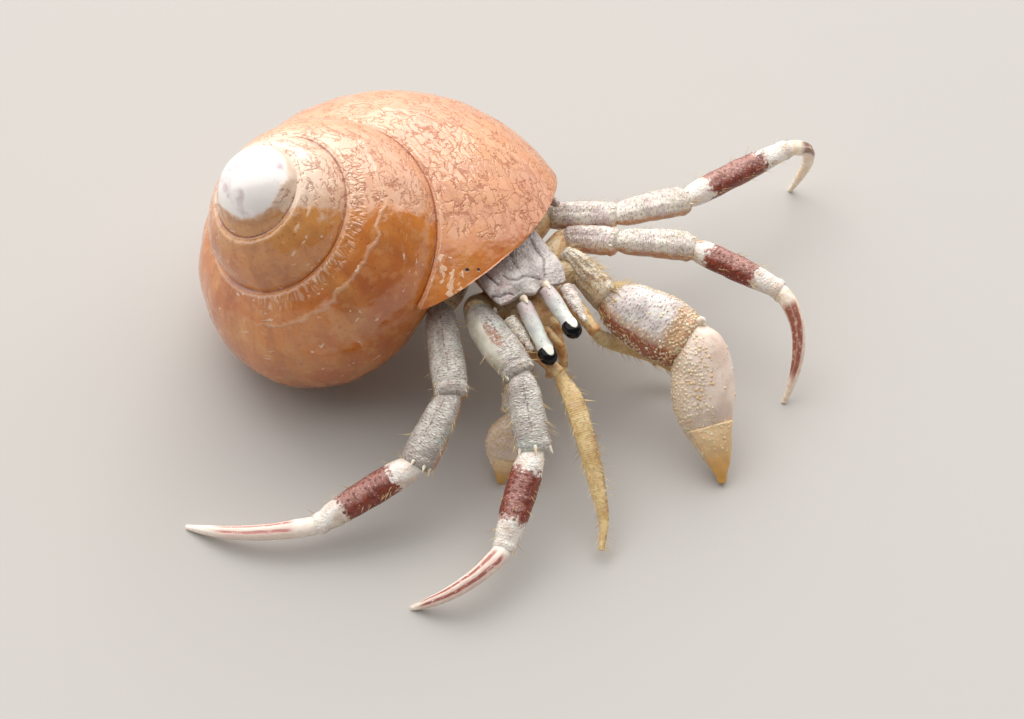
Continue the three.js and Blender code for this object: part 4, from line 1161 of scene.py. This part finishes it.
# ---------- feelers and mouthparts ----------
# Outside each eye lie a toothed scale and the stout root of a feeler, whose whip is a flat golden band of many
# short rings fringed with fine hairs. Two small inner feelers and the mouth's legs lie between and below.
HEAD_PARTS = {
    "left": {"scale": ((3.6, -3.9, 12.4), (3.0, -8.1, 11.9)), "root": ((3.9, -3.3, 10.8), (4.3, -8.1, 9.5)),
             "inner": ((0.55, -4.2, 10.9), (1.5, -8.0, 10.6))},
    "right": {"scale": ((-2.9, -4.1, 12.0), (-2.85, -7.9, 11.1)), "root": ((-2.6, -4.2, 10.4), (-1.55, -10.6, 9.55)),
              "inner": ((-0.25, -4.3, 10.7), (0.35, -8.3, 10.0))},
}
SCALE_SHAPE = [(0, 1.3, 1.0), (0.35, 1.4, 1.1), (0.75, 0.9, 0.8), (1, 0.5, 0.5)]
FEELER_ROOT_SHAPE = [(0, 1.5, 1.5), (0.3, 1.7, 1.6), (0.7, 1.4, 1.4), (1, 1.2, 1.2)]
INNER_SHAPE = [(0, 0.8, 0.8), (0.5, 0.8, 0.8), (0.9, 0.6, 0.6), (1, 0.5, 0.5)]
WHIPS = {
    "left": [(4.2, -8.0, 9.5, 0.9, 0.8), (5.0, -8.0, 8.2, 1.3, 0.8), (6.8, -7.8, 6.0, 1.6, 0.8),
             (9.0, -8.4, 4.2, 1.6, 0.8), (11.2, -10.2, 2.8, 1.4, 0.7), (12.3, -12.6, 1.8, 0.9, 0.6),
             (12.5, -15.0, 1.2, 0.5, 0.5)],
    "right": [(-1.55, -10.1, 9.6, 1.0, 0.8), (-1.6, -11.4, 9.3, 1.4, 0.8), (-1.8, -13.2, 8.9, 1.8, 0.8),
              (-2.7, -16.9, 7.0, 1.8, 0.8), (-3.8, -20.7, 4.2, 1.5, 0.7), (-4.7, -23.1, 2.4, 0.9, 0.6),
              (-6.2, -24.9, 1.2, 0.5, 0.5)],
}
WHIP_RINGS = 84
MOUTH_LEG = [(0.9, -3.9, 8.9, 1.1, 1.3), (1.0, -5.6, 8.5, 1.2, 1.4), (0.9, -7.0, 7.4, 1.0, 1.2),
             (0.75, -7.5, 5.8, 0.8, 0.9), (0.7, -7.0, 4.7, 0.5, 0.6)]
MOUTH_MIDDLE = 0.3

whip_paint, start, along, around, grain, place = new_plate_paint("feeler")
ring = (along * (WHIP_RINGS * 2 * math.pi)).sin()
shade = coats(
    mottle(place, 0.5, 3.0, (232, 208, 154), (206, 172, 112)),
    (ring.step(0.4, 1.0) * place.noise(2.5, 2.0).step(0.35, 0.6) * 0.14, (120, 84, 48)),
    (place.noise(3.4, 3.0).step(0.5, 0.64) * 0.4, (168, 128, 84)),
    (place.noise(1.2, 3.0).step(0.5, 0.7) * 0.4, (196, 160, 130)),
    (around.step(0.54, 0.68) * 0.55 * place.noise(3.0).step(0.4, 0.6), (120, 92, 70)),
    (ridge(around, 0.3, 0.08).step(0.1, 0.8) * 0.6, (240, 206, 130)))
finish_material(start, ring * 0.006 + place.noise(3.4, 3.0) * 0.08, 1.0, shade, 0.26, flesh=(0.2, 0.5))

mouth_paint, start = new_material("mouthparts")
place = millimetres(start)
shade = coats(mottle(place, 0.6, 3.0, (236, 208, 156), (204, 150, 92)),
              (place.noise(2.2, 3.0).step(0.5, 0.68) * 0.5, (156, 104, 66)))
finish_material(start, place.noise(2.4, 3.0), 0.12, shade, 0.24, flesh=(0.25, 0.6))


def whip_relief(t, v):
    """Each ring of the whip stands a little proud at its edges."""
    return 0.008 * np.sin(t * WHIP_RINGS * 2 * math.pi) * (np.abs(v - 0.5) * 2)


def scale_relief(t, v):
    """Low teeth along the outer margins."""
    return 0.1 * (bump_of(v, 0.25, 0.06) + bump_of(v, 0.75, 0.06)) * np.maximum(0, np.sin(t * 30)) + uneven_skin(t, v)


for side, part in HEAD_PARTS.items():
    mesh = plate_mesh("scale", between(*part["scale"], SCALE_SHAPE), relief=scale_relief,
                      marks={"hair": lambda t, v: 1.2 * (bump_of(v, 0.27, 0.06) + bump_of(v, 0.73, 0.06))})
    hairy.append(mesh)
    seat("scale_" + side, mesh, leg_paints["left"], "shield", "antennal_scale_" + side)
    seat("feeler_root_" + side, plate_mesh("feeler_root", between(*part["root"], FEELER_ROOT_SHAPE),
                                           relief=uneven_skin), mouth_paint, "soft_skin", "antenna_base_" + side)
    seat("inner_feeler_" + side, plate_mesh("inner_feeler", between(*part["inner"], INNER_SHAPE)),
         mouth_paint, "soft_skin", "antennule_" + side)
    mesh = plate_mesh("whip", WHIPS[side], CLAW_UP, relief=whip_relief, grain=0.09,
                      marks={"hair": lambda t, v: 5.0 * (bump_of(v, 0.26, 0.05) + bump_of(v, 0.74, 0.05))})
    hairy.append(mesh)
    seat("feeler_whip_" + side, mesh, whip_paint, "feeler", "antenna_" + side)
    mouth_leg = [(MOUTH_MIDDLE + (x if side == "left" else -x), *rest) for x, *rest in MOUTH_LEG]
    seat("mouth_leg_" + side, plate_mesh("mouth_leg", mouth_leg, (0, -1, 1)), mouth_paint, "soft_skin",
         "maxilliped_" + side)

# ---------- hind legs ----------
# The last two pairs are short and stay under the shell's edge, where their rough ends grip it from inside.
HIND_LEGS = {
    "leg4_left": [(3.8, 7.6, 12.2), (6.2, 8.2, 12.8), (7.9, 6.8, 13.2), (8.6, 5.0, 13.2)],
    "leg4_right": [(-3.4, 7.4, 12.0), (-5.4, 7.6, 11.8), (-6.6, 6.2, 11.4), (-6.8, 4.6, 11.0)],
    "leg5_left": [(3.6, 9.6, 13.4), (5.4, 10.6, 14.8), (5.6, 9.2, 16.2), (5.0, 7.6, 16.8)],
    "leg5_right": [(-3.6, 9.9, 12.6), (-5.6, 10.6, 12.2), (-6.6, 9.6, 11.2), (-6.8, 8.4, 10.2)],
}
HIND_SIZES = [(1.5, 1.5), (1.3, 1.4), (1.2, 1.3), (0.7, 0.8)]
for name, path in HIND_LEGS.items():
    stations = [(*point, *sizes_here) for point, sizes_here in zip(path, HIND_SIZES)]
    seat(name + "_plate", plate_mesh(name, stations, relief=uneven_skin), leg_paints["left"], "leg_plate", name)

# ---------- joint skins ----------
# Between the plates of legs and claws a soft folded skin bridges each hinge; it is pale and slightly see-through.
HINGE_LENGTH = 0.9
HINGE_SHARE = 0.86
hinge_meshes = []


def hinge(before, first, last, after, sizes, up):
    """A short skin tube through two places, reaching a little into the plate at either end."""
    middle = first.lerp(last, 0.5)
    line = (first - before * HINGE_LENGTH, middle, last + after * HINGE_LENGTH)
    hinge_meshes.append(plate_mesh("hinge", [(*place, *(size * HINGE_SHARE for size in sizes)) for place in line],
                                   up, ends=0.3))


for leg, ends in LEG_JOINTS.items():
    ends = [Vector(end) for end in ends]
    ways = [(b - a).normalized() for a, b in zip(ends, ends[1:])]
    for i, shape in enumerate(LEG_SHAPES.values()):
        sizes = [size * LEG_GIRTH[leg] for size in shape[0][1:]]
        hinge(ways[i], ends[i + 1], ends[i + 1], ways[i + 1], sizes, UP)
for plates in CLAWS.values():
    chain = [plates["merus"], plates["carpus"], plates["palm"]]
    for near, far in zip(chain, chain[1:]):
        a, b = Vector(near[-1][:3]), Vector(far[0][:3])
        way = (b - a).normalized()
        hinge(way, a, b, way, [min(near[-1][k], far[0][k]) for k in (3, 4)], CLAW_UP)
hinge_paint, start = new_material("hinge_skin")
place = millimetres(start)
folds = (place * 2.2 + place.noise(0.8) * 3).noise(1.4, 3.0)
# darker in the hollows of the folds, paler on their crests: painted shade
shade = folds.step(0.35, 0.6).blend(tone(206, 176, 138), tone(240, 228, 206))
finish_material(start, folds, 0.2, shade, 0.28, flesh=(0.25, 0.6))
seat("joint_skins", joined("joint_skins", hinge_meshes), hinge_paint, "soft_skin")

# ---------- spines and knob ----------
# Hard conical spines grow from the far rims of the leg plates and the scales over the eyes' roots; a white
# knob sits on the hinge of the big chela. All are the same lime as the plates.
SPINE_SHAPE = ((0, 2.0, 2.0), (0.35, 1.6, 1.6), (0.7, 0.9, 0.9), (1, 0.24, 0.24))  # for a radius of 1


def spine_mesh(root_point, tip_point, radius):
    """A cone sunk into what it grows from."""
    up = UP if abs(tip_point[2] - root_point[2]) < 0.9 else (0, 1, 0)
    return plate_mesh("spine", between(root_point, tip_point, SPINE_SHAPE, radius), up, ends=0.3,
                      grain=max(radius * 0.35, 0.05))


def rim_spines(stations, up, share, turns, length, radius, lean=0.75):
    """Spines standing on a plate at one share of its length, at these shares round it."""
    line, _ = flow(stations, 101)
    i = round(share * 100)
    way = Vector(line[min(i + 1, 100), :3] - line[max(i - 1, 0), :3]).normalized()
    across = way.cross(Vector(up)).normalized()
    deep = across.cross(way)
    made = []
    for v in turns:
        turn = 2 * math.pi * v - math.pi / 2
        out = across * (math.cos(turn) * line[i, 3] / 2) + deep * (math.sin(turn) * line[i, 4] / 2)
        root_point = Vector(line[i, :3]) + out * 0.9
        made.append(spine_mesh(root_point, root_point + (out.normalized() * (1 - lean) + way * lean) * length, radius))
    return made


SPINES = [  # leg, segment, share along, shares round, length, radius
    ("leg2_right", "carpus", 0.97, (0.68, 0.5, 0.33), 1.25, 0.24),
    ("leg2_right", "carpus", 0.7, (0.7,), 0.6, 0.16),
    ("leg3_right", "carpus", 0.97, (0.7, 0.62, 0.5), 1.15, 0.2),
    ("leg2_right", "merus", 0.97, (0.3, 0.62), 0.8, 0.2),
    ("leg3_right", "merus", 0.97, (0.66,), 0.7, 0.18),
    ("leg2_right", "propodus", 0.2, (0.72,), 0.7, 0.14),
    ("leg2_right", "propodus", 0.98, (0.68,), 0.6, 0.14),
    ("leg3_left", "carpus", 0.97, (0.5, 0.34), 0.8, 0.2),
    ("leg2_left", "carpus", 0.97, (0.52, 0.36), 0.8, 0.2),
    ("leg3_left", "merus", 0.97, (0.5,), 0.6, 0.18),
    ("leg2_left", "merus", 0.97, (0.5, 0.34), 0.6, 0.18),
]
SCALES_OVER_EYES = [((-1.1, -3.7, 13.4), (-1.2, -4.6, 13.72)), ((1.5, -3.6, 13.75), (1.4, -4.5, 14.1))]
EYE_SCALE_RADIUS = 0.42
spine_meshes = []
for leg, name, share, turns, length, radius in SPINES:
    i = list(LEG_SHAPES).index(name)
    stations = between(LEG_JOINTS[leg][i + 1], LEG_JOINTS[leg][i + 2], LEG_SHAPES[name], LEG_GIRTH[leg], PLATE_BOW)
    spine_meshes += rim_spines(stations, UP, share, turns, length, radius)
CLAW_SPINES = ((0.5, (0.72,), 0.2, 0.4), (0.72, (0.73,), 0.22, 0.4), (0.92, (0.74, 0.62), 0.22, 0.6))
for share, turns, radius, lean in CLAW_SPINES:
    spine_meshes += rim_spines(CLAWS["left"]["carpus"], CLAW_UP, share, turns, 0.5, radius, lean)
spine_meshes += [spine_mesh(*ends, EYE_SCALE_RADIUS) for ends in SCALES_OVER_EYES]
spine_paint, start = new_material("spines")
place = millimetres(start)
finish_material(start, place.noise(3.0, 3.0), 0.05, mottle(place, 1.4, 3.0, (242, 234, 220), (218, 196, 168)),
                0.26, 1.55, flesh=(0.15, 0.5))
seat("spines", joined("spines", spine_meshes), spine_paint, "leg_plate")
KNOB = [(12.5, -13.3, 10.3, 0.7, 0.7), (12.75, -13.4, 10.65, 1.0, 0.9), (13.0, -13.5, 11.0, 0.7, 0.6)]
seat("chela_knob", plate_mesh("chela_knob", KNOB, (1, 0, 0), ends=0.4, grain=0.07,
                              relief=lambda t, v: 0.05 * np.sin(v * 4 * math.pi)), spine_paint, "chela")


def random_between(start, low, high, seed):
    return start.add("FunctionNodeRandomValue", {"data_type": "FLOAT"}, {2: low, 3: high, "Seed": seed}, 1)


# ---------- granules ----------
# Rounded lime beads stud the inner half of the chela and the margins of the carpus, each part of its plate.
GRANULE_SIZES = {"Per square millimetre": 12.0, "Closest": 0.28, "Smallest": 0.09, "Largest": 0.19}
granule_paint, start = new_material("granules")
place = millimetres(start)
finish_material(start, place.noise(4.0, 2.0), 0.02, mottle(place, 0.7, 3.0, (238, 218, 190), (220, 186, 144)),
                0.18, 1.6, flesh=(0.3, 0.5))
granule_tree, start, opening, size = new_rule("granules_on_claws", GRANULE_SIZES, reads_mesh=True)
density = start.geo("InputNamedAttribute", settings={"data_type": "FLOAT"}, Name="beads")
spread = start.geo("DistributePointsOnFaces", "Points", {"distribute_method": "POISSON"}, Mesh=opening, Seed=4,
                   Density_Factor=density, Distance_Min=size["Closest"] * MM,
                   Density_Max=size["Per square millimetre"] / MM ** 2)
girth = random_between(start, size["Smallest"], size["Largest"], 5)
beads = start.geo("InstanceOnPoints", Points=spread, Rotation=spread.sibling("Rotation"),
                  Instance=start.geo("MeshUVSphere", "Mesh", Segments=8, Rings=5, Radius=MM),
                  Scale=start.xyz(girth, girth, girth * 0.5))
finish_rule(beads, granule_paint)
seat("granules", grown_mesh("granules", granule_tree, GRANULE_SIZES, joined("beaded_plates", beaded)),
     granule_paint, "chela")

# ---------- bristles ----------
# Fine golden setae of chitin stand along the margins of the legs, in a tuft at the root of the big claw and in
# fringes down the whips of the feelers. Each is a thin bent cone rooted in its plate.
ROOT_SUNK = 0.06
TUFT_PATCH = 0.003  # side of a bristle's patch on its plate's map
JITTER = 0.35
LEAN = 0.8
BRISTLE_SIZES = {"Per square millimetre": 3.2, "Shortest": 0.45, "Longest": 1.5, "Thickness": 0.028, "Bend": 0.22}
bristle_paint, start = new_material("bristles")
place = millimetres(start)
finish_material(start, place.noise(6.0), 0.01, mottle(place, 0.8, 2.0, (238, 214, 160), (176, 128, 72)), 0.35)
bristle_tree, start, opening, size = new_rule("bristles_on_margins", BRISTLE_SIZES, reads_mesh=True)
density = start.geo("InputNamedAttribute", settings={"data_type": "FLOAT"}, Name="hair")
spread = start.geo("DistributePointsOnFaces", "Points", {"distribute_method": "RANDOM"}, Mesh=opening, Seed=7,
                   Density=density * size["Per square millimetre"] / MM ** 2)
lie, root_map = (start.geo("InputNamedAttribute", settings={"data_type": "FLOAT_VECTOR"}, Name=name)
                 for name in ("lie", "root_map"))
jitter = start.add("FunctionNodeRandomValue", {"data_type": "FLOAT_VECTOR"},
                   {0: (-JITTER,) * 3, 1: (JITTER,) * 3, "Seed": 8}, 0)
turned = start.add("FunctionNodeAlignRotationToVector", {"axis": "Z"},
                   {"Vector": spread.sibling("Normal") * LEAN + lie * LEAN + jitter})
cone = start.geo("MeshCone", "Mesh", Vertices=4, Side_Segments=5, Radius_Top=0.0,
                 Radius_Bottom=size["Thickness"] * MM, Depth=MM)
height_up = start.geo("InputPosition").axis("Z") / MM
bent = start.geo("SetPosition", Geometry=cone,
                 Offset=start.xyz(height_up * height_up * size["Bend"] * MM, z=-ROOT_SUNK * MM))
reach = random_between(start, size["Shortest"], size["Longest"], 9)
bristles = start.geo("InstanceOnPoints", Points=spread, Instance=bent, Rotation=turned,
                     Scale=start.xyz(reach, reach, reach))
mapped = start.geo("StoreNamedAttribute", settings={"data_type": "FLOAT2", "domain": "CORNER"}, Name="OFBake",
                   Geometry=start.geo("RealizeInstances", Geometry=bristles),
                   Value=root_map + (cone.sibling("UV Map") - 0.5) * TUFT_PATCH)
finish_rule(mapped, bristle_paint)
MAP_TILES = 6  # the plates' maps lie side by side in so many columns and rows
for k, mesh in enumerate(hairy):
    shares = np.empty(len(mesh.vertices) * 3, np.float32)
    mesh.attributes["root_map"].data.foreach_get("vector", shares)
    shares = (shares.reshape(-1, 3) * 0.94 + 0.03 + (k % MAP_TILES, k // MAP_TILES, 0)) / MAP_TILES
    write(mesh.attributes["root_map"], "vector", shares)
seat("bristles", grown_mesh("bristles", bristle_tree, BRISTLE_SIZES, joined("hairy_plates", hairy)),
     bristle_paint, "leg_plate")
